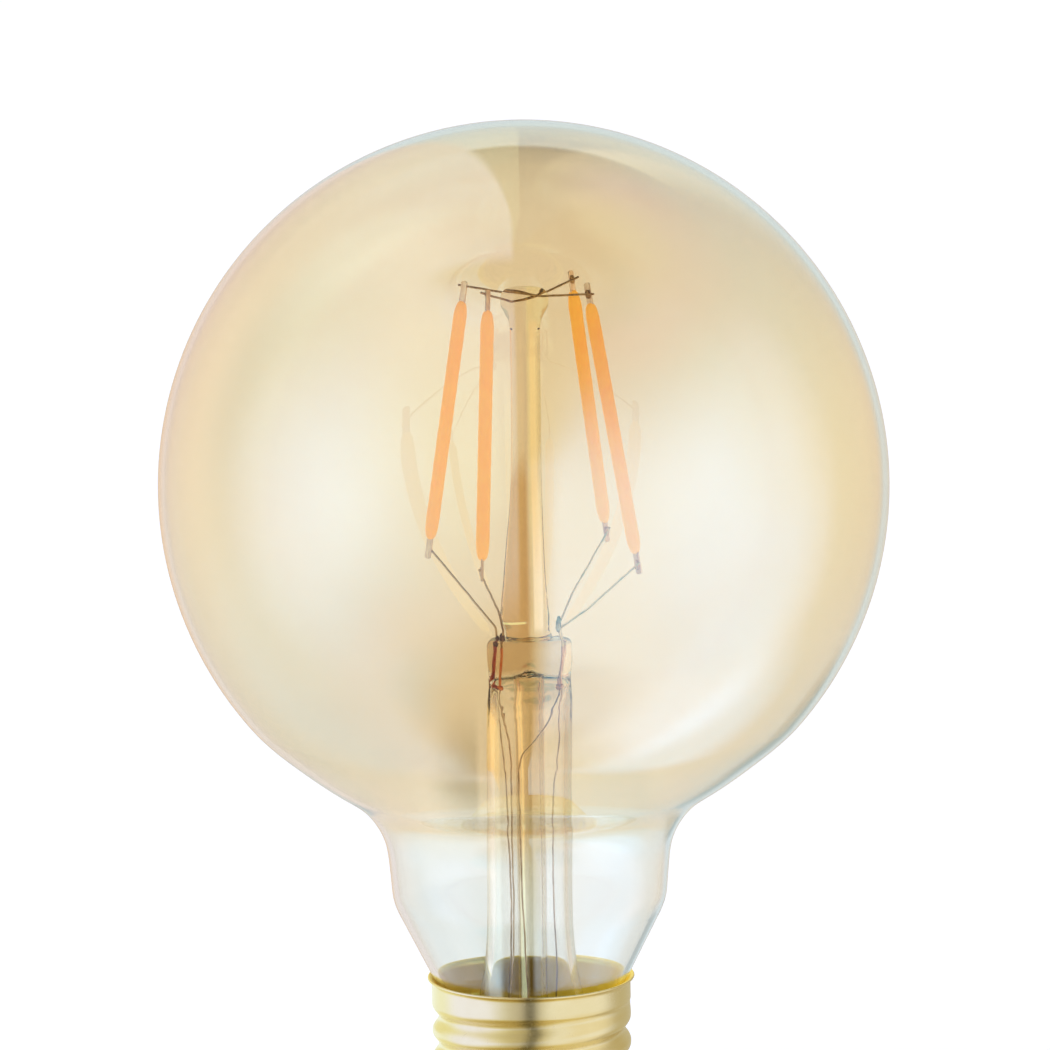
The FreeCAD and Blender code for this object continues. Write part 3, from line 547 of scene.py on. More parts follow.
def brass():
    """Pale plated brass: rolling marks round it, faint cloudiness, small scuffs."""
    t = material("pale_brass")
    x, y, z = t.xyz(t.where)
    ang = t.math("ARCTAN2", y, x)
    ring = t.noise(t.combine(t.math("MULTIPLY", ang, 0.0015), 0.0, z), 5200.0, 4.0, 0.6)
    cloud = t.noise(t.where, 160.0, 3.0, 0.55)
    scuff = t.noise(t.scaled(t.where, (1.0, 1.0, 0.3)), 1800.0, 5.0, 0.7)
    col = t.mix(t.step(cloud, 0.3, 0.7), (0.80, 0.670, 0.350), (0.83, 0.710, 0.395))
    col = t.mix(t.math("MULTIPLY", t.step(scuff, 0.60, 0.72), 0.25), col, (0.66, 0.53, 0.30))
    rough = t.math("ADD", t.step(ring, 0.25, 0.75, 0.20, 0.27, False), t.step(scuff, 0.58, 0.75, 0.0, 0.08, False))
    setp(t, color=col, metal=1.0, rough=rough, normal=t.bump(t.math("ADD", t.math("MULTIPLY", ring, 0.5), scuff), 0.10, 0.00003))
    return t.m


def brass_inside():
    """Bare inside of the rolled rim: duller than outside, lit through the neck from the right."""
    t = material("brass_inside")
    n1, n2 = t.noise(t.where, 700.0, 5.0, 0.6), t.noise(t.where, 161.0, 3.0, 0.5)
    lit = t.step(t.xyz(t.where)[0], -0.002, 0.009)
    setp(t, color=t.mix(t.step(n2, 0.32, 0.68), (0.98, 0.80, 0.22), (1.0, 0.85, 0.29)), metal=0.85,
         rough=t.step(n1, 0.25, 0.75, 0.34, 0.46, False), normal=t.bump(n1, 0.25, 0.00004),
         emit=t.mix(lit, (0.11, 0.055, 0.0), (0.33, 0.215, 0.01)), emit_strength=1.0)
    return t.m


def plain(name, a, b, scale=900.0, rough=(0.4, 0.6), metal=0.0, bump=0.2, dist=0.00004, spots=None, coat=0.0, level=0.5,
          glow=None):
    """Solid stuff with a mottled two-tone base, uneven gloss and a fine surface."""
    t = material(name)
    n1 = t.noise(t.where, scale, 5.0, 0.6)
    n2 = t.noise(t.where, scale * 0.23, 3.0, 0.5)
    col = t.mix(t.step(n2, 0.32, 0.68), a, b)
    if spots:
        col = t.mix(t.step(t.noise(t.where, scale * 1.7, 2.0), 0.62, 0.70), col, spots)
    setp(t, color=col, metal=metal, rough=t.step(n1, 0.25, 0.75, rough[0], rough[1], False),
         normal=t.bump(n1, bump, dist), coat=coat, level=level)
    if glow:
        setp(t, emit=glow, emit_strength=1.0)
    return t.m


M = {}
M["globe"] = coated_glass()
M["neck"] = clear_glass("clear_neck_glass", (0.902, 0.906, 0.828), (0.904, 0.906, 0.826), 0.030, 0.044, ior=2.0, tint=(0.36, 0.36, 0.36))
M["stem"] = stem_glass("stem_glass", 1.5)
M["press"] = stem_glass("press_glass", 1.34)
M["rod"] = rod_glass("rod_glass", 1.26)
M["button"] = rod_glass("button_glass", 1.07)
M["exhaust"] = exhaust_glass()
# painted light and shade: the nickel arms are one wire in two copies, darker and browner on the left arms, paler on the
# right arms
M["arm_l"] = wire("nickel_arm_left", (0.56, 0.38, 0.16), (0.80, 0.60, 0.32), 0.38)
M["arm_r"] = wire("nickel_arm_right", (0.86, 0.78, 0.56), (0.97, 0.90, 0.70), 0.40, blue=(0.62, 0.74, 0.60))
M["upper"] = wire("upper_wire", (0.30, 0.17, 0.06), (0.58, 0.38, 0.18), 0.36)
# weld beads: darker on the left arms, paler with bluish patches on the right arms
M["weld"] = wire("weld_bead", (0.34, 0.40, 0.36), (0.72, 0.76, 0.66), 0.42, blue=(0.30, 0.50, 0.46))
M["knot"] = wire("dark_weld_bead", (0.12, 0.07, 0.045), (0.40, 0.24, 0.15), 0.5)
# painted light and shade: the sealed-in wires are one copper-clad wire in three copies, darker on wire 1, brighter on
# wire 2, paler on wires 3 and 4
M["copper"] = wire("copper_clad", (0.30, 0.035, 0.018), (0.72, 0.20, 0.09), 0.34)
M["copper_hot"] = wire("copper_clad_bright", (0.80, 0.22, 0.07), (0.95, 0.42, 0.18), 0.36)
M["lead"] = wire("copper_lead", (0.40, 0.27, 0.14), (0.72, 0.55, 0.36), 0.36)
M["copper_pale"] = wire("copper_clad_pale", (0.62, 0.36, 0.22), (0.86, 0.66, 0.48), 0.36)
M["tab"] = wire("tab_plate", (0.74, 0.54, 0.38), (0.95, 0.78, 0.58), 0.40)
M["phosphor"] = phosphor()
M["brass"] = brass()
M["brass_in"] = brass_inside()
M["black_glass"] = plain("black_glass", (0.006, 0.006, 0.008), (0.016, 0.015, 0.018), 300.0, (0.08, 0.20), bump=0.12, dist=0.00006, coat=0.3)
M["contact"] = plain("contact_plate", (0.62, 0.55, 0.42), (0.72, 0.66, 0.55), 1500.0, (0.20, 0.36), metal=1.0, bump=0.18, dist=0.00002)
M["pin"] = plain("contact_pin", (0.66, 0.66, 0.66), (0.80, 0.80, 0.79), 1600.0, (0.22, 0.38), metal=1.0, bump=0.2, dist=0.00002)
M["cement"] = plain("lamp_cement", (0.62, 0.57, 0.48), (0.76, 0.72, 0.63), 1400.0, (0.8, 0.95), bump=0.7, dist=0.00015, spots=(0.48, 0.43, 0.36))
M["board"] = plain("board_laminate", (0.045, 0.16, 0.075), (0.060, 0.20, 0.095), 2200.0, (0.35, 0.5), bump=0.15, coat=0.3)
M["chip"] = plain("moulded_black", (0.012, 0.012, 0.013), (0.026, 0.026, 0.028), 3200.0, (0.5, 0.65), bump=0.35)
M["can"] = plain("capacitor_sleeve", (0.020, 0.022, 0.030), (0.034, 0.036, 0.048), 1500.0, (0.3, 0.42), bump=0.15)
M["resistor"] = plain("resistor_lacquer", (0.10, 0.30, 0.20), (0.16, 0.38, 0.27), 1500.0, (0.35, 0.5), bump=0.25)
M["ferrite"] = plain("ferrite_core", (0.045, 0.042, 0.040), (0.085, 0.080, 0.076), 1900.0, (0.6, 0.8), bump=0.4)
M["skin"] = plain("wire_skin", (0.55, 0.05, 0.035), (0.66, 0.08, 0.05), 1200.0, (0.45, 0.6), bump=0.15)

# ------------------------------------------------------------------ glass envelope
def envelope_outer():
    def cone_r(z):
        return CONE_R28 + CONE_SLOPE * (z - 28.0)
    pts = [(SEAL_R - 0.3 + 0.3 * math.sin(a), SEAL_Z + 0.3 - 0.3 * math.cos(a)) for a in np.linspace(0, math.pi / 2, 6)]
    pts += line_pts((SEAL_R, SEAL_Z + 0.3), (SEAL_R, 22.1), 6)[1:]
    k1 = (cone_r(23.8), 23.8)
    pts += clamped([(SEAL_R, 22.1), k1], (0, 1), (CONE_SLOPE, 1), 9)[1:]
    pts += line_pts(k1, NECK[0], 12)[1:]
    sr = math.sqrt(GLOBE_R ** 2 - (JOIN_Z - GLOBE_Z) ** 2)
    pts += clamped(NECK + [(sr, JOIN_Z)], (CONE_SLOPE, 1), (GLOBE_Z - JOIN_Z, sr), 60)[1:]
    a0 = math.atan2(JOIN_Z - GLOBE_Z, sr)
    for a in np.linspace(a0, math.pi / 2, 76)[1:]:
        pts.append((GLOBE_R * math.cos(a), GLOBE_Z + GLOBE_R * math.sin(a)))
    pts[-1] = (0.0, OVERALL)
    return pts


outer = envelope_outer()
inner = []
for i, (r, z) in enumerate(outer):
    if z < SEAL_Z + 0.31:
        continue
    a, b = np.array(outer[max(0, i - 1)]), np.array(outer[min(len(outer) - 1, i + 1)])
    d = unit(b - a)
    q = (r - WALL * d[1], z + WALL * d[0])
    inner.append((max(0.0, q[0]), q[1]))
inner[-1] = (0.0, OVERALL - WALL)
inner = [(SEAL_R - WALL, SEAL_Z)] + inner
SPLIT = 44.0
ev, ef = lathe(list(reversed(outer)) + inner, 192)
em = [0 if np.mean([ev[i][2] for i in face]) > SPLIT else 1 for face in ef]
piece("globe_and_neck", [(ev, ef, em)], [M["globe"], M["neck"]], ["glass_envelope"])

# ------------------------------------------------------------------ stem: flare tube, press and blow hole
trumpet = [(16.4, 0, 9.75), (18.4, 0, 8.55), (21.0, 0, 7.45), (24.0, 0, 6.65), (27.5, 0, 6.02), (31.5, 0, 5.68),
           (36.0, 0.02, 5.56), (42.0, 0.06, 5.55), (48.0, 0.12, 5.56), (54.0, 0.2, 5.6), (59.0, 0.3, 5.6), (61.5, 0.36, 5.58)]
stem_out = sectioned([(13.6, 0, 10.79, 10.79, 2), (14.9, 0, 10.75, 10.75, 2)] + [(z, c, r, r, 2) for z, c, r in trumpet]
                     + [(63.2, 0.4, 5.45, 4.7, 2.1), (64.6, MX, 5.36, 3.3, 2.4), (66.0, MX, 5.4, 2.45, 2.9),
                        (67.6, MX, 5.52, 2.35, 3.2), (69.2, MX, 5.55, 2.35, 3.2), (70.3, MX, 5.42, 2.15, 3.0)])
stem_in = sectioned([(13.6, 0, 9.7, 9.7, 2), (14.9, 0, 9.6, 9.6, 2)] + [(z, c, r - TUBE_WALL, r - TUBE_WALL, 2) for z, c, r in trumpet]
                    + [(63.0, 0.4, 4.62, 3.3, 2.2), (64.1, MX, 4.7, 1.9, 2.4), (64.9, MX, 4.3, 1.1, 2.4)])
ROUND = 96


def stem_ring(fn, z):
    cx, a, b, n = fn(z)
    ring = superellipse(z, cx, a, b, n, ROUND)
    return ring


def press_warp(ring, z):
    """Small unevenness of hand-pressed glass, growing towards the press."""
    k = float(np.clip((z - 58.0) / 6.0, 0, 1))
    if k <= 0:
        return ring
    c = ring.mean(0)
    d = ring - c
    wob = 1 + 0.018 * k * smooth_noise(ring, 5, 3.2)
    ring = c + d * wob[:, None]
    ring[:, 2] = z
    return ring


zs = np.concatenate([np.linspace(13.6, 24, 22), np.linspace(24.5, 58, 48), np.linspace(58.4, 69.3, 46)])
rings = [press_warp(stem_ring(stem_out, z), z) for z in zs]
# rounded shoulder, then the top face of the press with a wavy crest along its two long edges
top_ring = press_warp(stem_ring(stem_out, 69.3), 69.3)
centre = np.array([MX, 0, 0])
for k, (dz, inset) in enumerate([(0.30, 0.02), (0.58, 0.08), (0.80, 0.20), (0.94, 0.38), (1.0, 0.62), (1.0, 1.0)]):
    r = top_ring.copy()
    off = r - np.array([MX, 0, r[0][2]])
    ln = np.linalg.norm(off[:, :2], axis=1)
    s = (ln - inset) / ln
    r[:, :2] = centre[:2] + off[:, :2] * s[:, None]
    wave = 0.16 * np.cos(2 * np.pi * (r[:, 0] - MX) / 4.1) + 0.05 * np.sin(2 * np.pi * (r[:, 0] - MX) / 1.7 + 1)
    r[:, 2] = 69.25 + dz + wave * min(1, dz) * 0.8 - 0.12
    rings.append(r)
for s in (0.72, 0.5, 0.25):
    r = rings[-1 if s == 0.72 else -1].copy()
    r[:, :2] = centre[:2] + (top_ring[:, :2] - centre[:2]) * s * 0.8
    r[:, 2] = 70.12
    rings.append(r)
n_out = len(rings)
zi = np.concatenate([np.linspace(13.6, 24, 22), np.linspace(24.5, 58, 44), np.linspace(58.4, 64.9, 28)])
in_rings = [press_warp(stem_ring(stem_in, z), z) for z in zi]
r = in_rings[-1].copy()
for s, dz in ((0.8, 0.12), (0.5, 0.2), (0.2, 0.22)):
    q = r.copy()
    q[:, :2] = np.array([MX, 0]) + (r[:, :2] - np.array([MX, 0])) * s
    q[:, 2] = 64.9 + dz
    in_rings.append(q)
# one skin: inner surface from its dome down, round the foot, and up the outside
all_rings = list(reversed(in_rings)) + [rings[0] * np.array([0.975, 0.975, 1.0])] + rings
sv, sf = grid(all_rings, caps=(True, True))


def dimple(v):
    """The blow hole: a funnel in the front of the press, with a soft lip."""
    v = v.copy()
    hx, hz = MX - 0.1, 66.35
    front = v[:, 1] < -1.0
    d = np.hypot((v[:, 0] - hx) / 1.05, (v[:, 2] - hz) / 1.0)
    sel = front & (d < 2.2)
    k = np.exp(-(d[sel] / 0.85) ** 4)
    lip = np.exp(-((d[sel] - 1.25) / 0.3) ** 2)
    v[sel, 1] += 1.5 * k - 0.16 * lip
    return v


sv = dimple(sv)
sm = [1 if np.mean([sv[i][2] for i in face]) > 63.9 else 0 for face in sf]
piece("stem_and_press", [(sv, sf, sm)], [M["stem"], M["press"]], ["stem_flare"])

# exhaust tube inside the stem
EX_X = MX - 0.1
ex = [(1.2, 65.15), (1.55, 65.3), (1.9, 65.1)] + line_pts((1.9, 64.6), (1.9, 21.0), 30)
ex += clamped([(1.9, 21.0), (1.45, 19.3), (0.55, 18.1), (0.0, 17.7)], (0, -1), (-1, 0), 12)[1:]
ex[-1] = (0.0, 17.7)
ex_in = clamped([(0.0, 19.6), (0.75, 20.2), (1.2, 21.6)], (1, 0), (0, 1), 8)
ex_in[0] = (0.0, 19.6)
ex_all = list(reversed(ex_in + line_pts((1.2, 21.8), (1.2, 64.9), 30))) + ex
exv, exf = lathe(list(reversed(ex)) + list(reversed(ex_in + line_pts((1.2, 21.8), (1.2, 64.9), 30))), 64, (EX_X, 0.0),
                 radial=lambda t, r, z: 0.02 * np.sin(2 * t + z * 0.21) + 0.012 * np.sin(z * 0.9))
piece("exhaust_tube_glass", [(exv, exf, 0)], [M["exhaust"]], ["exhaust_tube"])

# support rod, its foot and the gathered button
rod_fn = sectioned([(69.1, MX, 1.93, 1.93, 2), (70.0, MX, 2.0, 1.93, 2), (70.3, MX, 3.05, 1.95, 2.3), (71.3, 0.2, 2.9, 2.0, 2.1), (72.4, 0.0, 3.08, 2.25, 2),
                    (73.1, -0.08, 3.2, 2.35, 2), (74.4, -0.12, 3.1, 2.3, 2), (78.0, -0.06, 2.78, 2.2, 2),
                    (83.0, 0.08, 2.45, 2.05, 2), (88.0, 0.28, 2.14, 1.95, 2), (92.0, 0.36, 2.0, ROD_R, 2),
                    (100.0, MX, ROD_R, ROD_R, 2), (110.8, MX, ROD_R, ROD_R, 2), (112.1, MX, 2.12, 2.12, 2),
                    (113.2, MX, 2.62, 2.62, 2), (114.3, MX, BUTTON_R, BUTTON_R, 2), (115.2, MX, BUTTON_R, BUTTON_R, 2),
                    (116.0, MX, 2.75, 2.75, 2), (116.4, MX, 1.9, 1.9, 2), (ROD_TOP, MX, 0.9, 0.9, 2)])
rz_ = np.concatenate([np.linspace(70.05, 75, 34), np.linspace(75.5, 110.6, 60), np.linspace(110.8, 116.5, 46)])
rod_rings = []
for z in rz_:
    cx, a, b, n = rod_fn(z)
    cx = cx + 0.03 * math.sin(z * 0.13)
    rod_rings.append(superellipse(z, cx, a, b, n, 80))
rv, rf = grid(rod_rings, caps=(True, True))
rm = [1 if np.mean([rv[i][2] for i in face]) > 111.0 else 0 for face in rf]
piece("support_rod_glass", [(rv, rf, rm)], [M["rod"], M["button"]], ["support_rod"])


# ------------------------------------------------------------------ wires
def route(points, bend, wobble=0.0, seed=0, spacing=0.6):
    """Runs of wire with bent corners, sampled along their length."""
    pts = [np.array(p, float) for p in points]
    out = [pts[0]]
    for i in range(1, len(pts) - 1):
        p, a, b = pts[i], pts[i - 1] - pts[i], pts[i + 1] - pts[i]
        la, lb = np.linalg.norm(a), np.linalg.norm(b)
        a, b = a / la, b / lb
        half = math.acos(float(np.clip(a @ b, -1, 1))) / 2
        if math.pi - 2 * half < 0.01:
            out.append(p)
            continue
        cut = min(bend / math.tan(half), 0.45 * la, 0.45 * lb)
        rad = cut * math.tan(half)
        bis = unit(a + b)
        c = p + bis * (rad / math.sin(half))
        s, e = p + a * cut, p + b * cut
        for k in np.linspace(0, 1, 7):
            q = s + (e - s) * k
            out.append(c + unit(q - c) * rad)
    out.append(pts[-1])
    out = np.array(out)
    seg = np.linalg.norm(np.diff(out, axis=0), axis=1)
    keep = np.concatenate([[True], seg > 1e-6])
    out = out[keep]
    u = np.concatenate([[0], np.cumsum(np.linalg.norm(np.diff(out, axis=0), axis=1))])
    extra = np.unique(np.concatenate([u, np.linspace(0, u[-1], max(3, int(u[-1] / spacing)))]))
    extra = extra[np.concatenate([[True], np.diff(extra) > 0.04])]
    res = np.stack([np.interp(extra, u, out[:, k]) for k in range(3)], 1)
    if wobble:
        for k in range(3):
            w = smooth_noise(extra, seed * 7 + k, 9.0)
            ends = np.clip(np.minimum(extra, extra[-1] - extra) / 2.0, 0, 1)
            res[:, k] += wobble * w * ends
    return res


def tube(path, r, sides=14, radius=None, squeeze=None):
    """Wire along a path; radius(u) gives its radius at each distance."""
    path = np.asarray(path, float)
    n = len(path)
    tan = np.gradient(path, axis=0)
    tan = tan / np.linalg.norm(tan, axis=1)[:, None]
    ref = V(0, 0, 1) if abs(tan[0][2]) < 0.9 else V(1, 0, 0)
    a = unit(np.cross(tan[0], ref))
    rings = []
    u = np.concatenate([[0], np.cumsum(np.linalg.norm(np.diff(path, axis=0), axis=1))])
    t = np.arange(sides) * 2 * np.pi / sides
    for i in range(n):
        a = unit(a - tan[i] * float(a @ tan[i]))
        b = np.cross(tan[i], a)
        rr = radius(u[i], u[-1]) if radius else r
        rings.append(path[i] + rr * (np.cos(t)[:, None] * a + np.sin(t)[:, None] * b))
    # rounded cut ends
    for end, s in ((0, -1), (-1, 1)):
        c, rg, d = path[end], rings[end], tan[end] * s
        rr = float(np.linalg.norm(rg[0] - c))
        new = [c + (rg - c) * 0.8 + d * rr * 0.18, c + (rg - c) * 0.4 + d * rr * 0.26]
        rings = (list(reversed(new)) + rings) if s < 0 else rings + new
    return grid(rings, caps=(True, True))


def blob(centre, axes, sizes, seed, rough=0.18, n=18):
    """Lumpy melted bead."""
    axes = [unit(np.array(a, float)) for a in axes]
    x = axes[0]
    y = unit(axes[1] - x * float(axes[1] @ x))
    zz = np.cross(x, y)
    rings = []
    for i in range(1, n):
        th = math.pi * i / n
        t = np.arange(2 * n) * math.pi / n
        p = np.stack([np.full(2 * n, math.cos(th)), math.sin(th) * np.cos(t), math.sin(th) * np.sin(t)], 1)
        k = 1 + rough * smooth_noise(p, seed, 1.6)
        p = p * k[:, None]
        rings.append(centre + p[:, :1] * sizes[0] * x + p[:, 1:2] * sizes[1] * y + p[:, 2:3] * sizes[2] * zz)
    v, f = grid(rings, caps=(True, True))
    return v, f


FILAMENTS = {
    1: (V(-12.38, 8.1, 82.2), V(-7.67, 5.6, 114.0), 1.35, 2.0),
    2: (V(-5.44, -13.4, 83.1), V(-4.32, -6.2, 114.4), 1.5, 2.1),
    3: (V(10.60, 11.0, 83.55), V(6.80, 7.5, 114.93), 1.2, 1.5),
    4: (V(14.28, -10.0, 83.1), V(8.87, -6.6, 115.2), 1.5, 1.2),
}
press_entry = {1: V(-3.78, 0.55, 69.2), 2: V(-3.13, -0.55, 69.2), 3: V(4.72, 0.6, 69.2), 4: V(4.62, -0.6, 69.2)}
knee = {1: V(-3.92, 0.6, 71.7), 2: V(-2.93, -0.75, 71.5), 3: V(4.35, 0.75, 71.9), 4: V(4.3, -0.7, 71.6)}
bow = {1: V(-7.4, 4.0, 75.35), 2: V(-3.55, -5.0, 74.9), 3: V(6.15, 5.0, 75.2), 4: V(8.2, -4.0, 74.95)}
button_in = {1: V(-1.75, 1.55, 115.52), 2: V(-1.25, -1.7, 114.85), 3: V(1.95, 2.1, 114.95), 4: V(2.5, -1.55, 115.5)}
cross = {"a": V(MX, 0.0, 115.55), "b": V(MX, 0.1, 114.85)}
seal_foot = {1: V(-3.95, 0.5, 63.7), 2: V(-3.32, -0.5, 63.7), 3: V(4.0, 0.5, 63.7), 4: V(4.25, -0.55, 63.7)}


def tab_points(i, lower_dir, upper_dir):
    lo, hi, below, above = FILAMENTS[i]
    d = unit(hi - lo)
    res = []
    for p, w, dist, s, r in ((lo, lower_dir, below, -1, ARM_R), (hi, upper_dir, above, 1, UPPER_R)):
        n = unit(np.cross(w, d))
        q = p + d * (s * dist)
        res.append((q, n, q + n * (r + TAB_T / 2 + 0.01)))
    return res


contacts = {}
for i in (1, 2, 3, 4):
    lo, hi, _, _ = FILAMENTS[i]
    contacts[i] = tab_points(i, lo - bow[i], hi - button_in[i])

for i in (1, 2, 3, 4):
    lw = contacts[i][0][2]
    w = unit(lw - bow[i])
    p = route([press_entry[i], press_entry[i] + V(0, 0, 0.8), knee[i], bow[i], lw, lw + w * 0.62], 1.1, 0.05, i, 0.5)
    left = i in (1, 2)
    parts = [tube(p, ARM_R) + (0,)]
    # bead where the arm is welded to the sealed-in wire, just above the glass
    if left:
        parts.append(blob(press_entry[i] + V(0.02, -0.05, 0.55 if i == 1 else 1.15), [V(0, 0, 1), V(1, 0, 0)], (0.72, 0.33, 0.33), i, 0.3) + (1,))
        mats = [M["arm_l"], M["knot"]]
    else:
        parts.append(blob(knee[i] + V(-0.05, 0, 0.35), [V(0.15, 0, 1), V(1, 0, 0)], (0.78, 0.36, 0.36), i + 10, 0.34) + (1,))
        mats = [M["arm_r"], M["weld"]]
    piece("support_arm_%d" % i, parts, mats, ["lower_arm_%d" % i])

    s = route([press_entry[i], press_entry[i] - V(0, 0, 0.9), seal_foot[i] + V(0, 0, 0.9), seal_foot[i]], 2.0, 0.04, 20 + i, 0.4)
    parts = [tube(s, SEAL_WIRE_R) + (0,), blob(seal_foot[i] + V(0, 0, 0.1), [V(0, 0, 1), V(1, 0, 0)], (0.42, 0.33, 0.33), 30 + i, 0.25) + (0,)]
    piece("sealed_wire_%d" % i, parts, [M["copper_hot" if i == 2 else "copper" if i == 1 else "copper_pale"]], ["seal_wire_%d" % i])

for name, a, b in (("a", 1, 4), ("b", 2, 3)):
    wa, wb = contacts[a][1][2], contacts[b][1][2]
    ea, eb = unit(wa - button_in[a]), unit(wb - button_in[b])
    p = route([wa + ea * 1.1, wa, button_in[a], cross[name], button_in[b], wb, wb + eb * 1.05], 1.0, 0.04, 40 + ord(name), 0.5)
    piece("button_wire_%s" % name, [tube(p, UPPER_R) + (0,)], [M["upper"]], ["upper_wire_%s" % name])

LEAD_END = 10.45
lead_route = {
    1: [seal_foot[1], V(-3.75, 0.45, 61.5), V(-3.58, 0.7, 56.8), V(-3.22, 0.9, 53.6), V(-2.85, 0.7, 48.8), V(-2.62, 0.2, 43.4),
        V(-2.4, -0.1, 35.4), V(-2.62, 0.3, 28.5), V(-3.1, 1.2, 20.5), V(-2.9, 2.3, 15.2), V(-2.9, 2.3, LEAD_END)],
    2: [seal_foot[2], V(-3.3, -0.6, 61.9), V(-2.78, -1.0, 58.8), V(-2.3, -1.2, 56.6), V(-2.12, -1.2, 53.6), V(-2.2, -1.2, 49.6),
        V(-2.15, -1.2, 44.1), V(-2.05, -1.3, 37.0), V(-2.2, -1.6, 29.0), V(-2.8, -2.6, 20.5), V(-3.1, -3.2, 15.2), V(-3.1, -3.2, LEAD_END)],
    3: [seal_foot[3], V(3.85, 0.2, 62.4), V(3.2, -1.3, 60.6), V(2.3, -2.5, 59.0), V(0.95, -2.75, 57.3), V(-0.8, -2.6, 55.4),
        V(-1.2, -2.55, 53.2), V(-1.1, -2.6, 49.0), V(-1.0, -2.6, 39.4), V(-0.7, -2.7, 30.0), V(-0.2, -3.3, 20.5), V(0.4, -3.9, 15.2),
        V(0.4, -3.9, LEAD_END)],
    4: [seal_foot[4], V(4.22, -0.5, 61.6), V(4.15, -0.4, 56.7), V(3.82, -0.3, 54.4), V(3.9, -0.1, 52.4), V(3.42, 0.1, 50.4),
        V(3.12, 0.2, 46.0), V(3.1, 0.3, 40.6), V(3.25, 0.4, 32.6), V(3.5, 0.7, 26.5), V(3.3, 2.2, 19.5), V(2.6, 3.6, 15.2), V(2.6, 3.6, LEAD_END)],
}
for i, r in lead_route.items():
    p = route([r[0], r[0] - V(0, 0, 0.7)] + r[1:], 3.0, 0.05, 60 + i, 0.6)
    piece("stem_lead_%d" % i, [tube(p, LEAD_R, 10) + (0,)], [M["lead"]], ["outer_lead_%d" % i])

# ------------------------------------------------------------------ filament strips and tabs
for i in (1, 2, 3, 4):
    lo, hi, below, above = FILAMENTS[i]
    length = float(np.linalg.norm(hi - lo))
    d = unit(hi - lo)
    side = unit(np.cross(V(0, 1, 0), d))
    face = np.cross(d, side)
    u = np.concatenate([np.linspace(0, 2.4, 14), np.linspace(2.4, length - 2.4, 64)[1:-1], np.linspace(length - 2.4, length, 14)])
    shape = pchip([0, 0.3, 1.0, 1.8, 2.4], [0.30, 0.56, 0.765, 0.862, FIL_R])
    rings, t = [], np.arange(28) * 2 * np.pi / 28
    for x in u:
        e = min(x, length - x)
        rr = shape(e) if e < 2.4 else FIL_R
        base = lo + d * x
        lump = 1 - 0.018 + 0.014 * math.sin(x * 1.9 + i) + 0.010 * math.sin(x * 4.3 + 2 * i)
        ring = base + rr * lump * (np.cos(t)[:, None] * side + np.sin(t)[:, None] * face)
        rings.append(ring)
    piece("filament_strip_%d" % i, [grid(rings, caps=(True, True)) + (0,)], [M["phosphor"]], ["led_filament_%d" % i])
    parts = []
    for (q, n, w), end, s in ((contacts[i][0], lo, -1), (contacts[i][1], hi, 1)):
        sd = unit(np.cross(n, d))
        # thin strip with a rounded outer end
        outline = []
        x0, x1 = -TAB_IN, TAB_OUT
        for k in np.linspace(0, math.pi, 9):
            outline.append((TAB_W / 2 * math.cos(k) if 0 < k < math.pi else TAB_W / 2 * math.cos(k), x1 - 0.3 + 0.3 * math.sin(k)))
        outline += [(-TAB_W / 2, x0), (TAB_W / 2, x0)]
        m = len(outline)
        v = [end + sd * a + d * s * b + n * (TAB_T / 2 * h) for h in (-1, 1) for a, b in outline]
        f = [tuple(range(m)), tuple(range(2 * m - 1, m - 1, -1))] + [(k, (k + 1) % m, m + (k + 1) % m, m + k) for k in range(m)]
        v, f = fixed(np.array(v), f)
        parts.append((v, f, 0))
        parts.append(blob(q + n * (0.16 * 1), [d, sd], (0.62, 0.42, 0.20), 70 + i + s, 0.22, 12) + (1 if i != 1 and s > 0 else 0,))
    piece("filament_tab_%d" % i, parts, [M["tab"], M["upper"]], ["filament_tabs_%d" % i], sharp=40)


# ------------------------------------------------------------------ brass shell
def smooth(x):
    x = np.clip(x, 0.0, 1.0)
    return x * x * (3 - 2 * x)


def thread_r(theta, z):
    turn = theta / (2 * math.pi)
    phi = (z - THREAD_Z0) / PITCH - turn
    s = 0.5 - 0.5 * np.cos(2 * math.pi * phi)
    p = 1 - (1 - s) ** 1.3
    groove = THREAD_Z0 + PITCH * (turn + np.floor(phi + 0.5))
    crest = THREAD_Z0 + PITCH * (turn + np.floor(phi) + 0.5)
    a = smooth((22.3 - groove) / 1.9)
    b = np.where(crest < 12, smooth((crest - 8.1) / 1.9), 1.0)
    return THREAD_ROOT + (THREAD_R - THREAD_ROOT) * (1 - a * (1 - p)) * b


SEGS = 240
th = np.arange(SEGS) * 2 * np.pi / SEGS


def cap_ring(z, inset):
    r = thread_r(th, z) - inset
    k = smooth((z - THREAD_END) / 0.5) if z < THREAD_END + 0.5 else 1.0
    r = (THREAD_ROOT - inset) * (1 - k) + r * k
    k = smooth((THREAD_TOP - z) / 0.5) if z > THREAD_TOP - 0.5 else 1.0
    r = (THREAD_R - inset) * (1 - k) + r * k
    return np.stack([r * np.cos(th), r * np.sin(th), z + 0 * th], 1)


def round_ring(r, z):
    return np.stack([r * np.cos(th), r * np.sin(th), z + 0 * th], 1)


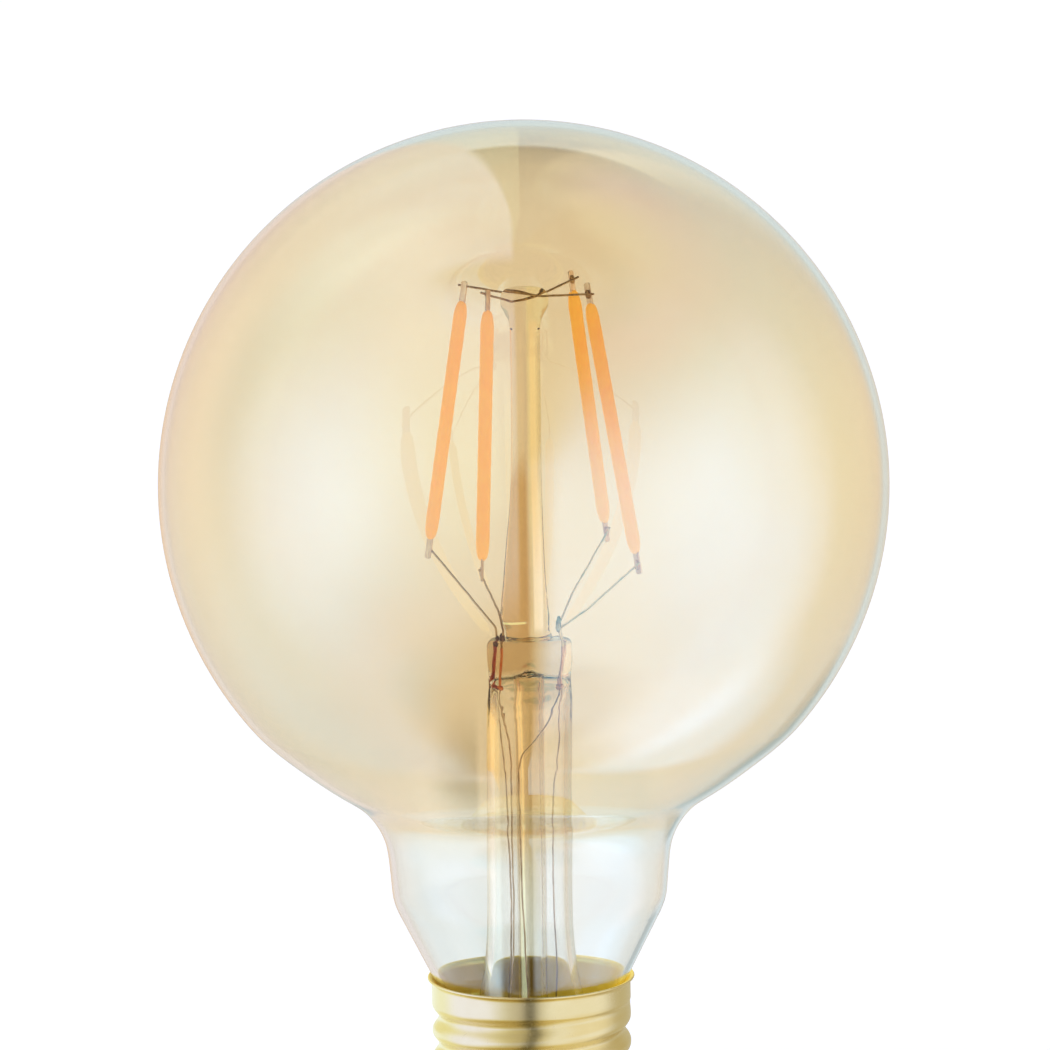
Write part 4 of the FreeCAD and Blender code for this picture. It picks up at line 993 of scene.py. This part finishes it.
cap = []
foot_out = clamped([(THREAD_ROOT, THREAD_END), (12.02, 6.95), (11.45, 6.42), (10.75, 6.12), (LIP_R, 5.98)], (0, -1), (-1, -0.42), 16)
foot_in = clamped([(LIP_R - 0.08, 6.26), (10.66, 6.42), (11.28, 6.68), (11.74, 7.1), (THREAD_ROOT - SHEET, THREAD_END)], (1, 0.42), (0, 1), 14)
cap += [round_ring(*p) for p in reversed(foot_out)]
for z in np.linspace(THREAD_END, THREAD_TOP, 84)[1:-1]:
    cap.append(cap_ring(z, 0.0))
rim_out = line_pts((THREAD_R, THREAD_TOP), (THREAD_R, BAND_TOP), 5)
rim_out += clamped([(THREAD_R, BAND_TOP), (13.16, 24.86), (13.42, 25.06)], (0, 1), (1, 0.55), 8)[1:]
rim_out += clamped([(13.42, 25.06), (13.58, 25.22), (13.42, RIM_Z)], (1, 0.55), (-1, -0.1), 9)[1:]
rim_out += clamped([(13.42, RIM_Z), (12.98, 25.2), (12.8, 24.86), (THREAD_R - SHEET, BAND_TOP - 0.1)], (-1, -0.15), (0, -1), 12)[1:]
rim_out += line_pts((THREAD_R - SHEET, BAND_TOP - 0.1), (THREAD_R - SHEET, THREAD_TOP), 4)[1:]
cap += [round_ring(*p) for p in rim_out]
for z in np.linspace(THREAD_TOP, THREAD_END, 64)[1:-1]:
    cap.append(cap_ring(z, SHEET))
cap += [round_ring(*p) for p in reversed(foot_in)]
cv, cf = grid(cap, closed_v=True)
inside = len(foot_out) + 82 + len(rim_out) - 16
cm = [1 if inside <= k // SEGS < len(cap) - len(foot_in) else 0 for k in range(len(cf))]
piece("brass_shell", [(cv, cf, cm)], [M["brass"], M["brass_in"]], ["cap_shell"])

# black glass insulator and the centre contact
ins = clamped([(LIP_R - 0.1, 6.28), (10.64, 6.44), (11.26, 6.70), (11.72, 7.12), (THREAD_ROOT - SHEET - 0.02, THREAD_END)], (1, 0.42), (0, 1), 10)
ins += line_pts((THREAD_ROOT - SHEET - 0.02, THREAD_END), (11.5, 7.9), 3)[1:]
ins += clamped([(11.5, 7.9), (9.0, 7.5), (5.0, 6.3), (3.0, 6.0)], (-1, -0.1), (-1, 0), 14)[1:]
ins += [(2.4, 5.99), (1.7, 5.97), (1.58, 5.85)] + line_pts((1.56, 5.7), (1.56, 1.2), 4) + [(1.62, 1.08), (2.2, 1.06)]
ins += line_pts((2.6, 1.06), (4.8, 1.06), 4) + [(5.05, 1.08), (5.22, 1.2), (5.36, 1.36)]
ins += clamped([(5.36, 1.36), (6.5, 2.1), (8.6, 4.3), (9.75, 5.7), (LIP_R - 0.1, 6.28)], (1, 0.45), (0.9, 0.6), 26)[1:-1]
iv, if_ = lathe(ins, 128, closed=True, radial=lambda t, r, z: 0.012 * np.sin(3 * t + 1.0) * (1 if 1.4 < z < 6.0 and r > 5.3 else 0))
piece("insulator_glass", [(iv, if_, 0)], [M["black_glass"]], ["cap_insulator"], sharp=50)
con = [(1.07, 0.42), (1.12, 0.36), (1.3, 0.35), (1.9, 0.35), (2.06, 0.30), (2.28, 0.07), (2.4, 0.0), (3.3, 0.0), (4.3, 0.0)]
con += clamped([(4.3, 0.0), (4.85, 0.2), (5.1, 0.62)], (1, 0), (0, 1), 8)[1:] + [(5.1, 0.9), (5.06, 1.02), (4.9, 1.05), (3.0, 1.05), (1.7, 1.05), (1.57, 1.12)]
con += [(1.55, 1.4), (1.55, 5.9), (1.52, 6.2), (1.42, 6.33), (1.2, 6.34), (1.09, 6.28), (1.05, 6.1), (1.05, 3.0), (1.05, 0.6)]
kv, kf = lathe(con, 96, closed=True)
piece("contact_plate_dished", [(kv, kf, 0)], [M["contact"]], ["centre_contact"], sharp=50)
pn = [(0.0, 0.05), (0.6, 0.052), (1.2, 0.062)] + clamped([(1.2, 0.062), (1.6, 0.14), (1.8, 0.33)], (1, 0), (0.1, 1), 8)[1:]
pn += [(1.7, 0.35), (1.2, 0.35), (1.04, 0.42), (1.04, 2.0), (1.04, 3.4), (0.75, 3.78), (0.4, 3.8), (0.0, 3.8)]
pv, pf = lathe(pn, 64, radial=lambda t, r, z: 0.02 * np.sin(2 * t) * (r > 0.5) * (z < 0.34))
piece("contact_pin_head", [(pv, pf, 0)], [M["pin"]], ["contact_pin"], sharp=50)

# ------------------------------------------------------------------ solid nodes that stay, with their finish
stays = {"cement_ring": "cement", "driver_board": "board", "bridge_rectifier": "chip", "driver_ic": "chip", "chip_resistors": "chip",
         "electrolytic_capacitor": "can", "fusible_resistor": "resistor", "filter_choke": "ferrite", "wire_to_contact": "skin", "wire_to_shell": "skin"}
for node, mat in stays.items():
    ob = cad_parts[node]
    ob.data.materials.clear()
    ob.data.materials.append(M[mat])
    ob.data.polygons.foreach_set("material_index", np.zeros(len(ob.data.polygons), np.int32))

# ------------------------------------------------------------------ floor
SIDE = 9.0
fm = bpy.data.meshes.new("floor")
fm.from_pydata([(-SIDE, -SIDE, 0), (SIDE, -SIDE, 0), (SIDE, SIDE, 0), (-SIDE, SIDE, 0)], [], [(0, 1, 2, 3)])
floor = bpy.data.objects.new("floor", fm)
scene.collection.objects.link(floor)
t = material("pale_floor")
t.n.remove(t.bsdf)
path = t.add("ShaderNodeLightPath")
dif = t.add("ShaderNodeBsdfDiffuse")
dif.inputs[0].default_value = (0.50, 0.50, 0.50, 1)
emi = t.add("ShaderNodeEmission")
emi.inputs[1].default_value = 0.82
both = t.add("ShaderNodeAddShader")
t.l.new(dif.outputs[0], both.inputs[0])
t.l.new(emi.outputs[0], both.inputs[1])
gone = t.add("ShaderNodeBsdfTransparent")
pick = t.add("ShaderNodeMixShader")
t.l.new(t.math("GREATER_THAN", path.outputs["Glossy Depth"], 0.5), pick.inputs[0])
# seen through the glass the floor's light is taken as even, which saves the paths that would go on from there
even = t.add("ShaderNodeEmission")
even.inputs[0].default_value = (1.037, 1.052, 1.163, 1)
even.inputs[1].default_value = 1.0
direct = t.add("ShaderNodeMixShader")
t.l.new(path.outputs["Is Transmission Ray"], direct.inputs[0])
t.l.new(both.outputs[0], direct.inputs[1])
t.l.new(even.outputs[0], direct.inputs[2])
t.l.new(direct.outputs[0], pick.inputs[1])
t.l.new(gone.outputs[0], pick.inputs[2])
t.l.new(pick.outputs[0], t.out.inputs["Surface"])
fm.materials.append(t.m)

# ------------------------------------------------------------------ studio: white all round, with soft panels and a dark gap
# where the camera looks in. Angles in degrees: azimuth from the camera side, positive to the right; elevation.
world = bpy.data.worlds.new("studio")
scene.world = world
world.use_nodes = True
world.node_tree.nodes.clear()
w = Tree(world.node_tree)
wout = w.add("ShaderNodeOutputWorld")
bg = w.add("ShaderNodeBackground")
gx, gy, gz = w.xyz(w.add("ShaderNodeTexCoord").outputs["Generated"])
DEG = 180 / math.pi
az = w.math("MULTIPLY", w.math("ARCTAN2", gx, w.math("MULTIPLY", gy, -1.0)), DEG)
el = w.math("MULTIPLY", w.math("ARCSINE", gz), DEG)


def off(v, lo, hi):
    return w.step(v, lo, hi, 1.0, 0.0)


def times(*v):
    out = v[0]
    for x in v[1:]:
        out = w.math("MULTIPLY", out, x)
    return out


def oval(a, e, wa, we, core):
    """Soft oval light: full inside its core, gone at the rim."""
    da = w.math("MULTIPLY", w.math("SUBTRACT", az, a), 1.0 / wa)
    de = w.math("MULTIPLY", w.math("SUBTRACT", el, e), 1.0 / we)
    rho = w.math("SQRT", w.math("ADD", w.math("MULTIPLY", da, da), w.math("MULTIPLY", de, de)))
    return off(rho, core, 1.0)


def oval_behind(a, e, wa, we, core):
    """The same, on the far side, where azimuth wraps round."""
    da = w.math("MULTIPLY", w.math("SUBTRACT", away, a), 1.0 / wa)
    de = w.math("MULTIPLY", w.math("SUBTRACT", el, e), 1.0 / we)
    rho = w.math("SQRT", w.math("ADD", w.math("MULTIPLY", da, da), w.math("MULTIPLY", de, de)))
    return off(rho, core, 1.0)


away = w.math("ABSOLUTE", az)
low_band = times(w.step(el, -36, -16), off(el, 34.5, 37.5))
behind_low = times(w.math("MAXIMUM", off(az, -174, -171), w.step(az, 148, 166)), low_band)
behind_high = times(w.step(away, 138, 162), w.step(el, 34.5, 37.5))
# left wall of light: an upright edge a little left of the camera, another behind, a rounded lower front corner
foot = w.math("MULTIPLY_ADD", az, 0.62, -25.3)
left = times(off(gx, -0.046, -0.018), w.step(az, -174, -171),
             w.step(el, w.math("SUBTRACT", foot, 16), w.math("ADD", foot, 16)),
             w.step(el, -82, -74), w.math("SUBTRACT", 1.0, times(w.step(el, 62, 76), off(gy, -0.14, -0.03))), w.math("LESS_THAN", az, 0.0))
# right wall of light, leaning away from the camera towards the top
lean = w.math("MULTIPLY_ADD", w.math("MAXIMUM", w.math("SUBTRACT", el, 15), 0.0), 0.6, 7.0)
soft = w.math("MULTIPLY_ADD", w.math("MAXIMUM", el, 0.0), 0.2, 5.0)
right_wall = times(w.step(az, w.math("SUBTRACT", lean, soft), w.math("ADD", lean, soft)), off(el, 46, 72),
                   w.math("SUBTRACT", 1.0, behind_low),
                   w.math("SUBTRACT", 1.0, times(w.step(az, 150, 178), w.step(el, 30, 40))))
LIGHTS = [
    (left, (0.84, 0.78, 0.84)),
    (times(left, w.step(el, 15, 65)), (-0.16, -0.22, -0.02)),
    (times(left, oval(-88, 22, 46, 52, 0.35)), (-0.62, -0.33, -0.16)),
    (times(left, oval(-95, -45, 58, 42, 0.4)), (-0.05, 0.20, 0.36)),
    (times(left, oval(-38, -60, 34, 24, 0.4)), (-0.85, -0.10, 0.18)),
    (times(left, oval(-165, -72, 28, 16, 0.3)), (-0.60, -0.50, -0.50)),
    (times(left, oval(-66, 0, 50, 58, 0.05)), (0.45, 0.72, 1.35)),
    (times(left, oval(-66, -2, 30, 38, 0.05)), (0.24, 0.16, 0.14)),
    (times(left, oval(-140, 14, 42, 34, 0.1)), (0.06, -0.12, -0.15)),
    (times(left, w.step(away, 105, 170)), (-0.02, -0.02, -0.10)),
    (right_wall, (0.62, 0.73, 0.82)),
    (times(right_wall, w.step(el, 5, 60)), (-0.66, -0.62, -0.42)),
    (times(right_wall, off(az, 92, 120), w.step(el, -84, -64), off(el, 4, 48)), (0.85, 0.85, 1.23)),
    (times(right_wall, oval(60, -6, 46, 46, 0.05)), (0.15, 0.18, 0.53)),
    (times(right_wall, oval(84, -48, 30, 30, 0.4)), (0.05, 0.20, 0.36)),
    (times(right_wall, oval(114, -58, 28, 32, 0.3)), (0.26, 0.58, 0.98)),
    (times(right_wall, oval(20, -64, 48, 24, 0.35)), (-0.80, -0.62, -0.66)),
    (times(right_wall, w.step(el, -6, 16)), (-0.22, -0.14, -0.05)),
    (times(right_wall, oval(66, 40, 34, 44, 0.3)), (-0.22, 0.0, 0.05)),
    (times(right_wall, oval(90, 8, 28, 24, 0.3)), (0.05, -0.08, -0.26)),
    (behind_low, (0.68, 0.79, 0.86)),
    (behind_high, (0.0, 0.07, 0.09)),
    (times(right_wall, oval(134, 0, 50, 40, 0.1)), (0.24, -0.03, -0.26)),
    (times(low_band, oval_behind(180, -10, 26, 15, 0.25)), (0.07, -0.10, -0.28)),
    (times(w.math("GREATER_THAN", az, 0.0), oval_behind(160, -27, 15, 8, 0.4)), (-0.20, -0.22, -0.26)),
]
total = None
for mask, colour in LIGHTS:
    node = w.add("ShaderNodeVectorMath", operation="SCALE")
    node.inputs[0].default_value = colour
    w.put(node.inputs["Scale"], mask)
    if total is None:
        total = node.outputs[0]
    else:
        add = w.add("ShaderNodeVectorMath", operation="ADD")
        w.put(add.inputs[0], total)
        w.put(add.inputs[1], node.outputs[0])
        total = add.outputs[0]
node = w.add("ShaderNodeVectorMath", operation="MAXIMUM")
w.put(node.inputs[0], total)
node.inputs[1].default_value = (0.0, 0.0, 0.0)
add = w.add("ShaderNodeVectorMath", operation="ADD")
w.put(add.inputs[0], node.outputs[0])
add.inputs[1].default_value = (0.04, 0.04, 0.05)
base = add.outputs[0]
path = w.add("ShaderNodeLightPath")
bent = w.math("ADD", path.outputs["Glossy Depth"], path.outputs["Diffuse Depth"])
straight = times(path.outputs["Is Transmission Ray"], w.math("LESS_THAN", bent, 0.5),
                 w.math("LESS_THAN", path.outputs["Transmission Depth"], 4.5))
seen = w.math("MAXIMUM", path.outputs["Is Camera Ray"], straight)
brushed = w.math("MULTIPLY", path.outputs["Is Glossy Ray"], w.math("SUBTRACT", 1.0, path.outputs["Is Singular Ray"]))
beside = w.math("MAXIMUM", w.math("MULTIPLY", gx, 1.3), w.math("MULTIPLY_ADD", gx, -1.0, -0.03))
gap = times(off(beside, 0.02, 0.19), off(gy, 0.45, 0.75))
left_box = w.math("MAXIMUM", off(gx, -0.80, -0.30), times(w.step(gy, 0.1, 0.5), w.math("LESS_THAN", gx, 0.0)))
right_box = times(w.step(gx, 0.0, 0.42), off(gy, -0.05, 0.42))
metal_room = None
for colour, mask in (((0.66, 0.66, 0.70), w.math("ADD", 0.0, 1.0)), ((0.38, 0.50, 0.48), left_box),
                     ((0.0, 0.0, 0.70), times(left_box, left_box, off(gy, 0.1, 0.6))), ((0.36, 0.40, 0.50), right_box)):
    fill = w.add("ShaderNodeVectorMath", operation="SCALE")
    fill.inputs[0].default_value = colour
    w.put(fill.inputs["Scale"], mask)
    if metal_room is None:
        metal_room = fill.outputs[0]
    else:
        add = w.add("ShaderNodeVectorMath", operation="ADD")
        w.put(add.inputs[0], metal_room)
        w.put(add.inputs[1], fill.outputs[0])
        metal_room = add.outputs[0]
metal_room = w.mix(w.step(el, -70, -35, 1.0, 0.0), metal_room, (0.86, 0.73, 0.36), "MULTIPLY")
sloping = w.step(w.math("ABSOLUTE", w.math("ADD", el, 12.0)), 5, 16)
metal_room = w.mix(times(sloping, w.step(gx, -0.97, -0.62), off(gx, 0.10, 0.45)), metal_room, (0.92, 0.84, 0.55), "MULTIPLY")
metal_room = w.mix(times(sloping, w.step(gx, 0.45, 0.80)), metal_room, (0.96, 0.90, 0.74), "MULTIPLY")
metal_room = w.mix(times(w.step(gy, 0.1, 0.6), w.step(gx, 0.0, 0.2)), metal_room, (0.92, 0.86, 0.62), "MULTIPLY")
shade = w.add("ShaderNodeVectorMath", operation="SCALE")
w.put(shade.inputs[0], metal_room)
w.put(shade.inputs["Scale"], w.math("SUBTRACT", 1.0, w.math("MULTIPLY", gap, 0.93)))


def choose(fac, a, b):
    node = w.add("ShaderNodeMixShader")
    w.put(node.inputs[0], fac)
    w.l.new(a, node.inputs[1])
    w.l.new(b, node.inputs[2])
    return node.outputs[0]


w.l.new(base, bg.inputs[0])
bg_metal, bg_white = w.add("ShaderNodeBackground"), w.add("ShaderNodeBackground")
w.l.new(shade.outputs[0], bg_metal.inputs[0])
bg_white.inputs[0].default_value = (1.0, 1.0, 1.0, 1.0)
w.l.new(choose(seen, choose(brushed, bg.outputs[0], bg_metal.outputs[0]), bg_white.outputs[0]), wout.inputs[0])

scene.view_settings.view_transform = "Standard"
scene.cycles.max_bounces = 14
scene.cycles.transmission_bounces = 12
scene.cycles.glossy_bounces = 5
scene.cycles.diffuse_bounces = 1
scene.cycles.transparent_max_bounces = 16
scene.cycles.sample_clamp_indirect = 6.0
